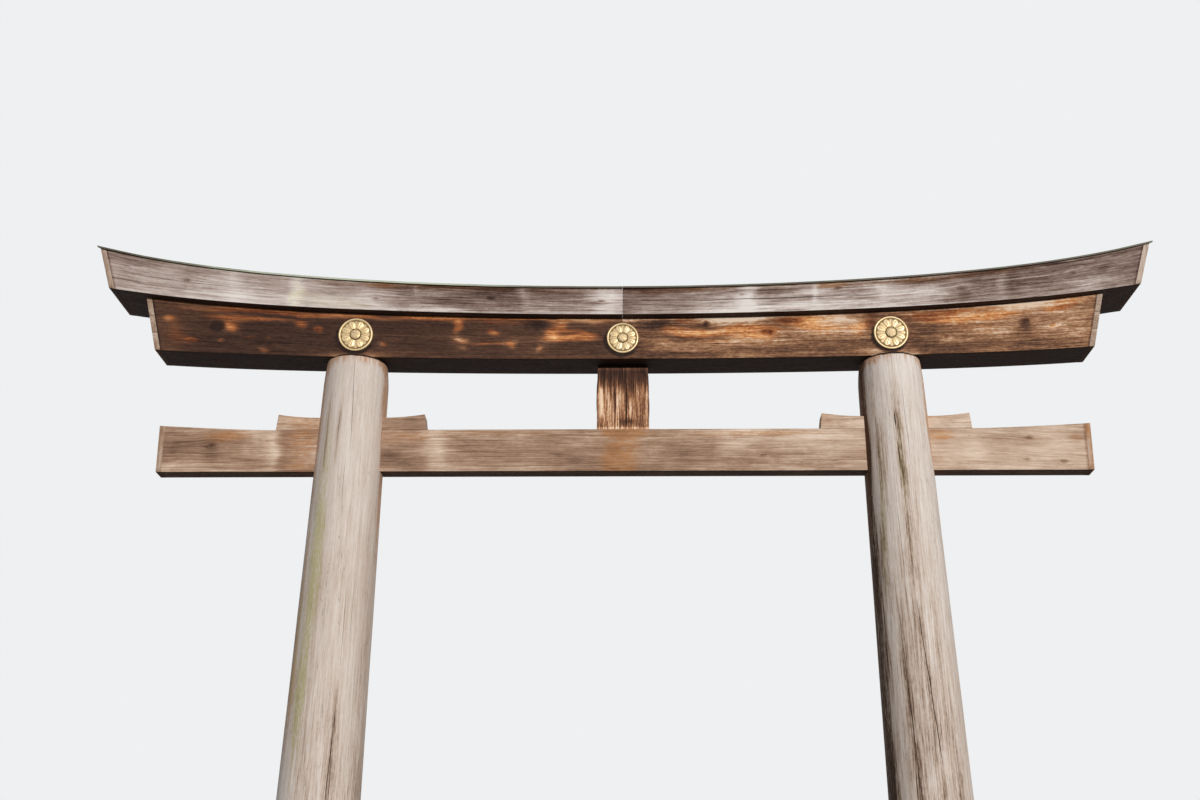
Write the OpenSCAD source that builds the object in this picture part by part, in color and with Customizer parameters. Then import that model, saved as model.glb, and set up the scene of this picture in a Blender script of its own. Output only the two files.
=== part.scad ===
// Timber shrine gate (torii) with two leaning pillars, a wedged tie beam and two upswept lintels
// Millimetres. +Z is up, the front faces -Y, and the origin is on the ground midway between the pillars.

/* [Base stones] */
// Diameter of each round footing stone
stone_d = 1900; // [1700:10:2400]
// Height of the footing stones above the ground
stone_h = 300; // [200:10:450]
// Radius of the rounded shoulder of the footing stones
stone_shoulder_r = 120; // [60:5:160]

/* [Pillars] */
// Distance between the pillar axes at ground level
pillar_spacing = 9320; // [8200:20:11000]
// Inward lean of each pillar in degrees
pillar_lean = 2.08; // [0:0.02:3]
// Diameter of a pillar at ground level
pillar_base_d = 1360; // [1240:10:1460]
// Diameter of a pillar at its head
pillar_head_d = 1024; // [940:4:1100]
// Radius of the rounded edge of the pillar head
pillar_head_r = 70; // [20:5:120]
// Depth by which the pillar head is let into the lower lintel
pillar_seat = 20; // [12:1:60]
// Side of the square tenon on the pillar head
tenon_w = 300; // [160:10:380]
// Height of the square tenon on the pillar head
tenon_h = 320; // [160:10:420]
// Diameter of the round stub under the pillar's foot
stub_d = 540; // [300:10:700]
// Height of the round stub under the pillar's foot
stub_h = 120; // [60:5:180]

/* [Tie beam] */
// Height of the tie beam's underside above the ground
tie_beam_z = 8950; // [8000:10:9600]
// Height of the tie beam between the pillars
tie_beam_h = 688; // [560:4:800]
// Thickness of the tie beam from front to back
tie_beam_t = 324; // [240:4:400]
// Thickness of the boards on the tie beam's ends
tie_beam_board_t = 84; // [40:2:120]
// Length of the tie beam beyond each pillar's ground axis
tie_beam_overhang = 2690; // [2300:10:3000]
// Upward flare of the tie beam's top at its ends
tie_beam_flare = 79; // [0:1:120]
// Length of the flare at each end of the tie beam
tie_beam_flare_l = 1800; // [1000:10:2000]
// Side clearance of the tie beam and wedges in the pillars
mortise_gap = 2; // [0.5:0.5:6]

/* [Wedges] */
// Reach of a wedge from the pillar axis to the foot of its thick end
wedge_reach = 1193; // [900:1:1250]
// Height of a wedge at its thick end
wedge_tip_h = 243; // [190:1:300]
// Height of a wedge where it enters the pillar
wedge_mouth_h = 206; // [170:1:240]
// Height of a wedge at its thin end inside the pillar
wedge_thin_h = 164; // [120:1:200]
// Distance by which a wedge's thick end leans back from foot to top
wedge_end_slant = 30; // [0:1:60]
// Gap between the thin ends of two wedges inside a pillar
wedge_end_gap = 24; // [6:2:60]

/* [Centre strut] */
// Height of the centre strut between tie beam and lower lintel
strut_h = 1110; // [900:5:1300]
// Width of the centre strut at its foot
strut_foot_w = 828; // [600:4:1000]
// Width of the centre strut at its head
strut_head_w = 803; // [600:1:1000]
// Thickness of the centre strut from front to back
strut_t = 300; // [200:4:340]

/* [Lower lintel] */
// Height of the lower lintel at mid span
lower_lintel_h = 682; // [600:2:800]
// Thickness of the lower lintel at its underside
lower_lintel_t = 716; // [640:4:800]
// Length of the lower lintel beyond each pillar's ground axis, end boards included
lower_lintel_overhang = 2824; // [2500:2:3000]
// Rise of the lower lintel's underside at its ends
lower_lintel_rise = 180; // [60:2:260]
// Outward slant of the lower lintel's ends in degrees from upright
lower_end_angle = 12.8; // [4:0.1:18]
// Thickness of the end boards of the lower lintel
lower_end_board_t = 86; // [50:1:120]

/* [Upper lintel] */
// Height of the upper lintel's front face at mid span
upper_lintel_h = 440; // [360:2:520]
// Length of the upper lintel beyond each pillar's ground axis, end boards included
upper_lintel_overhang = 3592; // [3300:2:3800]
// Rise of the upper lintel's underside at its ends
upper_lintel_rise = 480; // [300:2:600]
// Extra height of the upper lintel's front face at its ends
upper_lintel_growth = 208; // [0:2:280]
// Overhang of the upper lintel in front of the lower lintel
upper_lintel_ledge = 170; // [60:2:260]
// Outward slant of the upper lintel's ends in degrees from upright
upper_end_angle = 15.8; // [4:0.1:22]
// Thickness of the end boards of the upper lintel
upper_end_board_t = 86; // [50:1:120]

/* [Lintel shape] */
// Outward lean of the lintel faces, as a share of their height
face_batter = 0.05; // [0:0.01:0.12]
// Share of the lintels' rise that is a plain parabola, the rest turns up near the ends
even_share = 0.76; // [0.3:0.02:1]
// Straight steps along each half of a lintel's curve
curve_steps = 36; // [16:2:48]

/* [Roof] */
// Pitch of the roof over the upper lintel in degrees
roof_pitch = 17; // [8:0.5:21]
// Thickness of the copper roof with its boards
roof_t = 40; // [20:1:60]
// Overhang of the copper roof past the lintel's faces
roof_eave = 38; // [15:1:60]

/* [Bosses] */
// Diameter of the gilt bosses over the pillars
side_boss_d = 552; // [420:2:600]
// Diameter of the gilt boss at mid span
centre_boss_d = 508; // [400:2:560]
// Thickness of a boss's back plate
boss_plate_t = 20; // [12:1:30]
// Radius of the round bead along the edge of a boss over a pillar
side_bead_r = 15; // [8:0.5:20]
// Radius of the round bead along the edge of the boss at mid span
centre_bead_r = 14; // [8:0.5:20]
// Distance of the bead from the edge of a boss
boss_bead_inset = 3; // [1:0.5:8]
// Diameter of the hub of a boss over a pillar
side_hub_d = 166; // [120:2:200]
// Diameter of the hub of the boss at mid span
centre_hub_d = 152; // [110:2:180]
// Height of a boss's petals above its plate
boss_petal_h = 24; // [18:1:32]
// Height of the upright edge of a boss's petals
boss_petal_edge_h = 6; // [2:1:12]
// Height of a boss's hub above its plate
boss_hub_h = 38; // [34:1:48]
// Rise of the dome on a boss's hub
boss_hub_crown = 18; // [8:1:26]
// Number of petals on a boss
boss_petals = 8; // [6:1:10]
// Gap between neighbouring petals
boss_petal_gap = 9; // [4:1:20]

/* [Hidden] */
$fn = 64;
// Boards stacked over each end of the lower lintel: bottom, middle and top
lower_end_boards = 3;
// Straight steps along the hollow of a wedge and along the flare of the tie beam
wedge_steps = 8;
flare_steps = 12;
// Reach of a cutting shape past what it cuts, and overlap that joins two bodies of one piece
spare = 1000;
weld = 1;

// Heights
tie_beam_top = tie_beam_z + tie_beam_h;
soffit_z = tie_beam_top + strut_h;
ledge_z = soffit_z + lower_lintel_h;
roof_edge_z = ledge_z + upper_lintel_h;
sky_z = roof_edge_z + upper_lintel_rise + upper_lintel_growth + spare;

// Half lengths along X
pillar_x = pillar_spacing / 2;
tie_beam_half = pillar_x + tie_beam_overhang;
lower_half = pillar_x + lower_lintel_overhang;
upper_half = pillar_x + upper_lintel_overhang;
curve_reach = upper_half + spare;

// Half depths along Y
face_half = lower_lintel_t / 2;
roof_half = face_half + upper_lintel_ledge + face_batter * (roof_edge_z - soffit_z);
section_reach = stone_d + 2 * spare;
face_angle = atan(face_batter);

// Pillar axis, which leans inward as it rises
function axis_x(z) = pillar_x - tan(pillar_lean) * z;
pillar_grip_z = tie_beam_top + wedge_mouth_h / 2;
head_z = lower_curve(axis_x(soffit_z)) + pillar_seat;
head_len = head_z / cos(pillar_lean);
function pillar_r(z) = pillar_base_d / 2 + (pillar_head_d - pillar_base_d) / 2 * z / head_z;

// Rise of a lintel curve, from 0 at mid span to 1 at the end
function sweep(t) = even_share * pow(t, 2) + (1 - even_share) * pow(t, 6);
function lower_curve(x) = soffit_z + lower_lintel_rise * sweep(x / lower_half);
function ledge_curve(x) = ledge_z + upper_lintel_rise * sweep(x / upper_half);
function roof_curve(x) = roof_edge_z + (upper_lintel_rise + upper_lintel_growth) * sweep(x / upper_half);
stations = [for (i = [0 : curve_steps]) curve_reach * i / curve_steps];
lower_line = [for (x = stations) [x, lower_curve(x)]];
ledge_line = [for (x = stations) [x, ledge_curve(x)]];

// Bosses stand at mid height of the lower lintel
side_boss_z = (lower_curve(axis_x(soffit_z)) + ledge_curve(axis_x(soffit_z))) / 2;
centre_boss_z = (soffit_z + ledge_z) / 2;

// Everything is drawn for the right side and mirrored to the left
module on_side(side) {
    if (side == "right") children();
    else mirror([1, 0, 0]) children();
}

// Stands an outline drawn in X and Z upright and gives it a depth from front to back
module upright(depth) {
    rotate([90, 0, 0])
        linear_extrude(depth, center = true)
            children();
}

// Round granite footing with a soft shoulder, a flat seat and a socket for the pillar's stub
module base_stone(side) {
    shoulder = min(stone_shoulder_r, stone_h - stub_h / 2);
    color("#8d8a84")
    on_side(side)
    translate([axis_x(stone_h), 0, 0])
    difference() {
        rotate_extrude() {
            square([stone_d / 2 - shoulder, stone_h]);
            square([stone_d / 2, stone_h - shoulder]);
            translate([stone_d / 2 - shoulder, stone_h - shoulder])
                intersection() {
                    circle(shoulder);
                    square(shoulder);
                }
        }
        translate([0, 0, stone_h - stub_h - mortise_gap])
            cylinder(d = stub_d + 2 * mortise_gap, h = stub_h + 2 * mortise_gap);
    }
}

// Tapered round shaft with a rounded head, drawn upright from the ground
module pillar_shaft() {
    foot_r = pillar_base_d / 2;
    head_r = pillar_head_d / 2;
    taper = (foot_r - head_r) / head_len;
    rotate_extrude()
        union() {
            polygon([
                [0, -spare],
                [foot_r + taper * spare, -spare],
                [head_r + taper * pillar_head_r, head_len - pillar_head_r],
                [head_r - pillar_head_r, head_len],
                [0, head_len],
            ]);
            translate([head_r - pillar_head_r, head_len - pillar_head_r])
                intersection() {
                    circle(pillar_head_r);
                    square(pillar_head_r);
                }
        }
}

// Square tenon that stands on the pillar head
module head_tenon(gap = 0) {
    side = tenon_w + 2 * gap;
    translate([-side / 2, -side / 2, head_len - weld])
        cube([side, side, tenon_h + gap + weld]);
}

// Leans what is drawn round the pillar's axis to its place
module leaned() {
    translate([pillar_x, 0, 0])
        rotate([0, -pillar_lean, 0])
            children();
}

// Leaning pillar with its head tenon, foot stub and the slot for tie beam and wedges
module pillar(side) {
    color("#b3a48c")
    on_side(side)
    union() {
        difference() {
            leaned() {
                pillar_shaft();
                head_tenon();
            }
            translate([axis_x(0), 0, stone_h - section_reach / 2])
                cube([2 * stone_d, 2 * stone_d, section_reach], center = true);
            translate([axis_x(pillar_grip_z), 0, tie_beam_z + tie_beam_h / 2])
                cube([2 * stone_d, tie_beam_t + 2 * mortise_gap, tie_beam_h], center = true);
            upright(tie_beam_t + 2 * mortise_gap)
                wedge_slot_outline();
        }
        translate([axis_x(stone_h), 0, stone_h - stub_h])
            cylinder(d = stub_d, h = stub_h + weld);
    }
}

// Half the width of a pillar where its face meets the front of the tie beam
mouth_half = sqrt(pow(pillar_r(pillar_grip_z), 2) - pow(tie_beam_t / 2, 2));

// Top of a wedge: thin inside the pillar, then hollowed and rising to its thick end
function wedge_top(s) =
    s < mouth_half
    ? wedge_thin_h + (wedge_mouth_h - wedge_thin_h) * s / mouth_half
    : wedge_mouth_h + (wedge_tip_h - wedge_mouth_h) * pow((s - mouth_half) / (wedge_reach - mouth_half), 2);

// Outline of a wedge that runs out along +X from the pillar's axis
module wedge_outline() {
    top_end = wedge_reach - wedge_end_slant;
    thin = wedge_end_gap / 2;
    polygon(concat(
        [[thin, 0], [wedge_reach, 0]],
        [for (i = [wedge_steps : -1 : 0])
            let (s = mouth_half + (top_end - mouth_half) * i / wedge_steps) [s, wedge_top(s)]],
        [[thin, wedge_top(thin)]]
    ));
}

// Room above the tie beam that both wedges of a pillar fill
module wedge_slot_outline() {
    ramp_end = 2 * mouth_half;
    ramp_top = 2 * wedge_mouth_h - wedge_thin_h;
    translate([axis_x(pillar_grip_z), tie_beam_top])
        for (way = [0, 1])
            mirror([way, 0])
                polygon([
                    [-weld, -weld], [ramp_end, -weld], [ramp_end, ramp_top],
                    [0, wedge_thin_h], [-weld, wedge_thin_h],
                ]);
}

// Wedge driven in over the tie beam, flush with its faces
module wedge(side, way) {
    color("#8f7a5e")
    on_side(side)
    upright(tie_beam_t)
        translate([axis_x(pillar_grip_z), tie_beam_top])
            mirror([way == "inner" ? 1 : 0, 0])
                wedge_outline();
}

// Rise of the tie beam's top at a distance from mid span
flare_start = tie_beam_half - tie_beam_flare_l;
function flare(x) = tie_beam_flare * pow(max(0, x - flare_start) / tie_beam_flare_l, 2);

// Top of the tie beam from one distance from mid span back to a nearer one
function flare_line(to_x, from_x) =
    [for (i = [flare_steps : -1 : 0])
        let (x = from_x + (to_x - from_x) * i / flare_steps) [x, tie_beam_top + flare(x)]];

// One long beam that passes through both pillars
module tie_beam() {
    end_x = tie_beam_half - tie_beam_board_t;
    top_line = flare_line(end_x, flare_start);
    color("#a08d72")
    upright(tie_beam_t)
        polygon(concat(
            [[-end_x, tie_beam_z], [end_x, tie_beam_z]],
            top_line,
            [for (i = [flare_steps : -1 : 0]) [-top_line[i][0], top_line[i][1]]]
        ));
}

// Board that covers the end grain of the tie beam
module tie_beam_end_board(side) {
    color("#a5957f")
    on_side(side)
    upright(tie_beam_t)
        polygon(concat(
            [[tie_beam_half - tie_beam_board_t, tie_beam_z], [tie_beam_half, tie_beam_z]],
            flare_line(tie_beam_half, tie_beam_half - tie_beam_board_t)
        ));
}

// Short post between the tie beam and the lower lintel
module centre_strut() {
    color("#7d6850")
    upright(strut_t)
        polygon([
            [-strut_foot_w / 2, tie_beam_top], [strut_foot_w / 2, tie_beam_top],
            [strut_head_w / 2, soffit_z], [-strut_head_w / 2, soffit_z],
        ]);
}

// Bar with leaning faces that runs along X, as deep as a lintel plus an extra on each face
module leaning_section(extra) {
    low_z = soffit_z - spare;
    low = face_half + extra - face_batter * spare;
    high = face_half + extra + face_batter * (sky_z - soffit_z);
    rotate([90, 0, 90])
        linear_extrude(curve_reach)
            polygon([[-low, low_z], [low, low_z], [high, sky_z], [-high, sky_z]]);
}

// Region left of a slanted end line that passes a lintel's lower corner
module end_cut(corner, angle) {
    low = corner[1] - spare;
    polygon([
        [0, low], [corner[0] + tan(angle) * (low - corner[1]), low],
        [corner[0] + tan(angle) * (sky_z - corner[1]), sky_z], [0, sky_z],
    ]);
}

// Slice of a lintel's ends between two slanted lines, measured back from the outer end
module end_slice(corner, angle, outer, inner) {
    difference() {
        translate([-outer, 0]) end_cut(corner, angle);
        translate([-inner, 0]) end_cut(corner, angle);
    }
}

// Outline of the lower lintel, from its underside up to the upper lintel
module lower_outline() {
    polygon(concat(
        lower_line,
        [for (i = [curve_steps : -1 : 0]) ledge_line[i]]
    ));
}
lower_corner = [lower_half, lower_curve(lower_half)];

// Half of the lower lintel, seated over the pillar head and its tenon
module lower_lintel(side) {
    color("#7a5a3c")
    on_side(side)
    difference() {
        intersection() {
            upright(section_reach)
                intersection() {
                    lower_outline();
                    translate([-lower_end_board_t, 0]) end_cut(lower_corner, lower_end_angle);
                }
            leaning_section(0);
        }
        leaned() {
            translate([0, 0, head_len - tenon_h])
                cylinder(r = pillar_head_d / 2 + mortise_gap, h = tenon_h);
            head_tenon(mortise_gap);
        }
    }
}

// One of the boards stacked over each end of the lower lintel
module lower_end_board(side, row) {
    low = lower_corner[1];
    high = ledge_curve(lower_half);
    step = (high - low) / lower_end_boards;
    from_z = row == 0 ? low - spare : low + row * step;
    to_z = row == lower_end_boards - 1 ? high + spare : low + (row + 1) * step;
    color("#c09f80")
    on_side(side)
    intersection() {
        upright(section_reach)
            intersection() {
                lower_outline();
                end_slice(lower_corner, lower_end_angle, 0, lower_end_board_t);
                translate([0, from_z])
                    square([curve_reach, to_z - from_z]);
            }
        leaning_section(0);
    }
}

// Everything under one slope of the roof, raised by a thickness
module under_slope(lift) {
    line = [for (x = stations)
        [x, roof_curve(x) * cos(roof_pitch) + roof_half * sin(roof_pitch) + lift]];
    floor_w = (soffit_z - spare) * cos(roof_pitch) - section_reach * sin(roof_pitch);
    rotate([90 + roof_pitch, 0, 0])
        linear_extrude(2 * sky_z, center = true)
            polygon(concat(line, [[curve_reach, floor_w], [0, floor_w]]));
}

// Everything under the ridged roof
module under_roof(lift) {
    intersection() {
        under_slope(lift);
        mirror([0, 1, 0]) under_slope(lift);
    }
}

// Region above the upper lintel's underside
module ledge_outline() {
    polygon(concat(ledge_line, [[curve_reach, sky_z], [0, sky_z]]));
}
upper_corner = [upper_half, ledge_curve(upper_half)];

// Half of the upper lintel, ridged on top
module upper_lintel(side) {
    color("#94836a")
    on_side(side)
    intersection() {
        upright(section_reach)
            intersection() {
                ledge_outline();
                translate([-upper_end_board_t, 0]) end_cut(upper_corner, upper_end_angle);
            }
        leaning_section(upper_lintel_ledge);
        under_roof(0);
    }
}

// Board that covers the end grain of the upper lintel
module upper_end_board(side) {
    color("#b7a48c")
    on_side(side)
    intersection() {
        upright(section_reach)
            intersection() {
                ledge_outline();
                end_slice(upper_corner, upper_end_angle, 0, upper_end_board_t);
            }
        leaning_section(upper_lintel_ledge);
        under_roof(0);
    }
}

// Copper roof over half of the upper lintel, standing out past its faces and end
module copper_roof(side) {
    color("#5f9a86")
    on_side(side)
    difference() {
        intersection() {
            upright(section_reach)
                translate([roof_eave, 0]) end_cut(upper_corner, upper_end_angle);
            leaning_section(upper_lintel_ledge + roof_eave);
            under_roof(roof_t);
            translate([0, -section_reach, 0])
                cube([curve_reach, 2 * section_reach, sky_z]);
        }
        under_roof(0);
    }
}

// Outline of one petal that points along +X, with its root inside the hub
module petal_outline(root_r, tip_r) {
    half_step = 180 / boss_petals;
    lobe_r = (tip_r * sin(half_step) - boss_petal_gap / 2) / (1 + sin(half_step));
    lobe_x = tip_r - lobe_r;
    shoulder_half = lobe_r * cos(half_step);
    root_half = root_r * tan(half_step) - boss_petal_gap / 2;
    translate([lobe_x, 0])
        circle(lobe_r);
    polygon([
        [root_r, -root_half], [lobe_x, -shoulder_half],
        [lobe_x, shoulder_half], [root_r, root_half],
    ]);
}

// Crowned ring whose section is a low arc between two upright edges
module crowned_ring(inner_r, outer_r) {
    half = (outer_r - inner_r) / 2;
    crown = boss_petal_h - boss_petal_edge_h;
    arc_r = (pow(half, 2) + pow(crown, 2)) / (2 * crown);
    rotate_extrude()
        intersection() {
            translate([inner_r + half, boss_petal_h - arc_r])
                circle(arc_r);
            translate([inner_r, -weld])
                square([2 * half, boss_petal_h + 2 * weld]);
        }
}

// Round plate with a bead along its edge and a domed hub in its middle
module boss_plate(d, bead_r, hub_r) {
    dome_r = (pow(hub_r, 2) + pow(boss_hub_crown, 2)) / (2 * boss_hub_crown);
    rotate_extrude()
        union() {
            square([d / 2, boss_plate_t]);
            translate([d / 2 - boss_bead_inset - bead_r, boss_plate_t])
                circle(bead_r);
            translate([0, boss_plate_t])
                intersection() {
                    translate([0, boss_hub_h - dome_r])
                        circle(dome_r);
                    translate([0, -weld])
                        square([hub_r, boss_hub_h + 2 * weld]);
                }
        }
}

// Round gilt boss with a ring of petals round a domed hub, drawn lying on its back
module boss(d, bead_r, hub_r) {
    tip_r = d / 2 - boss_bead_inset - 2 * bead_r - boss_petal_gap;
    color("#c8a45a")
    union() {
        boss_plate(d, bead_r, hub_r);
        translate([0, 0, boss_plate_t])
            intersection() {
                crowned_ring(hub_r - 2 * boss_petal_gap, tip_r + boss_petal_gap / 2);
                translate([0, 0, -weld])
                    linear_extrude(boss_petal_h + 2 * weld)
                        for (i = [0 : boss_petals - 1])
                            rotate(360 * i / boss_petals)
                                petal_outline(hub_r - boss_petal_gap, tip_r);
            }
    }
}

// Boss seated on the leaning front or back face of the lower lintel
module placed_boss(face, x, z, d, bead_r, hub_r) {
    turn = face == "front" ? 0 : 1;
    mirror([0, turn, 0])
        translate([x, -face_half - face_batter * (z - soffit_z), z])
            rotate([90 + face_angle, 0, 0])
                boss(d, bead_r, hub_r);
}

base_stone("left");  // base_stone_left
base_stone("right");  // base_stone_right
pillar("left");  // pillar_left
pillar("right");  // pillar_right
tie_beam();
tie_beam_end_board("left");  // tie_beam_end_board_left
tie_beam_end_board("right");  // tie_beam_end_board_right
wedge("left", "outer");  // wedge_left_outer
wedge("left", "inner");  // wedge_left_inner
wedge("right", "inner");  // wedge_right_inner
wedge("right", "outer");  // wedge_right_outer
centre_strut();
lower_lintel("left");  // lower_lintel_left
lower_lintel("right");  // lower_lintel_right
lower_end_board("left", 0);  // lower_end_board_left_bottom
lower_end_board("left", 1);  // lower_end_board_left_middle
lower_end_board("left", 2);  // lower_end_board_left_top
lower_end_board("right", 0);  // lower_end_board_right_bottom
lower_end_board("right", 1);  // lower_end_board_right_middle
lower_end_board("right", 2);  // lower_end_board_right_top
upper_lintel("left");  // upper_lintel_left
upper_lintel("right");  // upper_lintel_right
upper_end_board("left");  // upper_end_board_left
upper_end_board("right");  // upper_end_board_right
copper_roof("left");  // copper_roof_left
copper_roof("right");  // copper_roof_right
placed_boss("front", -axis_x(side_boss_z), side_boss_z, side_boss_d, side_bead_r, side_hub_d / 2);  // front_boss_left
placed_boss("front", 0, centre_boss_z, centre_boss_d, centre_bead_r, centre_hub_d / 2);  // front_boss_centre
placed_boss("front", axis_x(side_boss_z), side_boss_z, side_boss_d, side_bead_r, side_hub_d / 2);  // front_boss_right
placed_boss("back", -axis_x(side_boss_z), side_boss_z, side_boss_d, side_bead_r, side_hub_d / 2);  // back_boss_left
placed_boss("back", 0, centre_boss_z, centre_boss_d, centre_bead_r, centre_hub_d / 2);  // back_boss_centre
placed_boss("back", axis_x(side_boss_z), side_boss_z, side_boss_d, side_bead_r, side_hub_d / 2);  // back_boss_right
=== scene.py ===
"""Timber shrine gate: leaning log pillars, a wedged tie beam, a strut and two upswept lintels."""

import cmath
import math
import random

import bmesh
import bpy
from mathutils import Matrix, Vector, noise


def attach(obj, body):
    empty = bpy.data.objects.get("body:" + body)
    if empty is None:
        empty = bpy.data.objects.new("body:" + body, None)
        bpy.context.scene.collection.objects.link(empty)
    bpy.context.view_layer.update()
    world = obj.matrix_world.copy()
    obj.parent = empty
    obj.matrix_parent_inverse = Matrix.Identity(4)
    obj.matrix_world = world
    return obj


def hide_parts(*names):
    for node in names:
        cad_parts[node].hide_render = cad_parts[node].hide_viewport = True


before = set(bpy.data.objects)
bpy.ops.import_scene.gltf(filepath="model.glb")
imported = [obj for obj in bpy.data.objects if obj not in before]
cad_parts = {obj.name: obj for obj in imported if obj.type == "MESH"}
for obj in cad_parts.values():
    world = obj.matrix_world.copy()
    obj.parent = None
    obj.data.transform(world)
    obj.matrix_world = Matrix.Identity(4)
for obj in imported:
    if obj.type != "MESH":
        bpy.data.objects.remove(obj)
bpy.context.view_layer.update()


# ---------------- Camera
# A standing visitor in front of the gate, a little to the right of its middle, looking up at
# the lintels. The lens is 49.5 mm on a 36 mm wide frame.
eye = Vector((0.042, -24.931, 1.579))
turn, tilt, roll = math.radians(-0.937), math.radians(19.029), math.radians(0.118)


def add_object(name, data):
    made = bpy.data.objects.new(name, data)
    bpy.context.scene.collection.objects.link(made)
    return made


camera = add_object("camera", bpy.data.cameras.new("camera"))
camera.data.sensor_width = 36
camera.data.lens = 49.49
camera.data.clip_end = 400
camera.location = eye
upright = Matrix.Rotation(-turn, 3, "Z") @ Matrix.Rotation(math.pi / 2 + tilt, 3, "X")
camera.rotation_euler = (upright @ Matrix.Rotation(roll, 3, "Z")).to_euler()
bpy.context.scene.camera = camera


# ---------------- Footing stones
# Two round blocks of grey granite, turned flat below and dressed to a soft shoulder above.
# They are bedded in the ground and carry a pillar each on a flat top.
stone_r, stone_h, shoulder_r, stone_x = 0.95, 0.30, 0.12, 4.6491
stone_chamfer, stone_dents, seat_rings = 0.012, 0.006, (0.76, 0.72)
ways = {"left": -1, "right": 1}


class Shade:
    """One value in a material's nodes: sums on it add Math nodes, node() adds any other node."""

    def __init__(self, tree, socket=None):
        self.tree = tree
        self.socket = socket

    def node(self, kind, settings=None, values=None, out=0):
        made = self.tree.nodes.new(kind)
        for key, value in (settings or {}).items():
            if key == "stops":
                stops = made.color_ramp.elements
                stops.remove(stops[-1])
                for k, (at, colour) in enumerate(value):
                    stop = stops.new(at) if k else stops[0]
                    stop.position, stop.color = at, (*colour, 1)
            else:
                setattr(made, key, value)
        for key, value in (values or {}).items():
            socket = next(s for s in made.inputs if s.identifier == key)
            if isinstance(value, Shade):
                self.tree.links.new(value.socket, socket)
            else:
                socket.default_value = (*value, 1) if socket.type == "RGBA" else value
        if isinstance(out, str):
            out = next(k for k, s in enumerate(made.outputs) if s.identifier == out)
        return Shade(self.tree, made.outputs[out] if made.outputs else None)

    def maths(self, operation, *terms):
        places = ("Value", "Value_001", "Value_002")
        return self.node("ShaderNodeMath", {"operation": operation}, dict(zip(places, terms)))

    __add__ = __radd__ = lambda self, other: self.maths("ADD", self, other)
    __mul__ = __rmul__ = lambda self, other: self.maths("MULTIPLY", self, other)
    __sub__ = lambda self, other: self.maths("SUBTRACT", self, other)
    __rsub__ = lambda self, other: self.maths("SUBTRACT", other, self)

    def ramp(self, low, high, to_low=0.0, to_high=1.0):
        """Runs smoothly from to_low to to_high as this value goes from low to high."""
        values = {
            "Value": self, "From Min": low, "From Max": high, "To Min": to_low, "To Max": to_high,
        }
        return self.node("ShaderNodeMapRange", {"interpolation_type": "SMOOTHSTEP"}, values)

    def position(self):
        return self.node("ShaderNodeTexCoord", out="Object")

    def painted(self, key, out="Fac"):
        """What the mesh carries under this name."""
        return self.node("ShaderNodeAttribute", {"attribute_name": key}, out=out)

    def stretched(self, *factors):
        values = {"Vector": self, "Vector_001": factors}
        return self.node("ShaderNodeVectorMath", {"operation": "MULTIPLY"}, values)

    def noise(self, scale=1.0, detail=3.0, rough=0.55, warp=0.0):
        values = {
            "Vector": self, "Scale": scale, "Detail": detail, "Roughness": rough,
            "Distortion": warp,
        }
        return self.node("ShaderNodeTexNoise", {"noise_dimensions": "3D"}, values)

    def over(self, under, colour):
        """This value as a mask that lays colour over what is under it."""
        values = {"Factor_Float": self, "A_Color": under, "B_Color": colour}
        return self.node("ShaderNodeMix", {"data_type": "RGBA"}, values, "Result_Color")

    def toned(self, stops):
        """Picks a colour by this value from stops, pale to dark, as (value, colour) pairs."""
        return self.node("ShaderNodeValToRGB", {"stops": stops}, {"Fac": self})


def seen(red, green, blue):
    """A colour as the eye sees it on a screen, 0 to 255, turned into the light it sends back."""
    shares = (red / 255, green / 255, blue / 255)
    return tuple(c / 12.92 if c < 0.0404 else ((c + 0.055) / 1.055) ** 2.4 for c in shares)


def emptied(holder):
    """Clears the nodes of a material or a world, for new ones."""
    holder.use_nodes = True
    holder.node_tree.nodes.clear()
    return Shade(holder.node_tree)


def finish_material(shade, colour, rough, height=None, depth=0.002, **fixed):
    """Joins colour, roughness and a bump to the surface. fixed is set on sockets of its own."""
    values = {"Base Color": colour, "Roughness": rough, **fixed}
    if height is not None:
        values["Normal"] = shade.node("ShaderNodeBump", {}, {"Distance": depth, "Height": height})
    surface = shade.node("ShaderNodeBsdfPrincipled", {}, values)
    shade.node("ShaderNodeOutputMaterial", {}, {"Surface": surface})


def ripple(x, y, z):
    """Smooth noise between -1 and 1 that is the same in every run."""
    return noise.noise(Vector((x, y, z)))


def round_corner(radius, pieces):
    """How far a rounded corner stands back from its side and down from its top, going up."""
    angles = [math.radians(90 * k / pieces) for k in range(pieces + 1)]
    return [(radius * (1 - math.cos(a)), radius * (1 - math.sin(a))) for a in angles]


def turned(outline, turns):
    """A round solid from the (radius, height) points of its outline, from axis to axis."""
    bm = bmesh.new()
    line = [bm.verts.new((r, 0, z)) for r, z in outline]
    edges = [bm.edges.new(pair) for pair in zip(line, line[1:])]
    bmesh.ops.spin(
        bm, geom=line + edges, axis=(0, 0, 1), cent=(0, 0, 0), angle=math.tau, steps=turns,
        use_merge=True,
    )
    bmesh.ops.remove_doubles(bm, verts=bm.verts, dist=1e-5)
    return bm


def add_piece(name, bm, material, slot, node, sharp=35):
    """Turns a finished bmesh into the piece of the gate that stands for a CAD node."""
    mesh = bpy.data.meshes.new(name)
    for face in bm.faces:
        face.smooth = True
    bm.to_mesh(mesh)
    bm.free()
    mesh.set_sharp_from_angle(angle=math.radians(sharp))
    mesh.materials.append(material)
    piece = add_object(name, mesh)
    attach(piece, "root")
    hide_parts(node)


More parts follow.
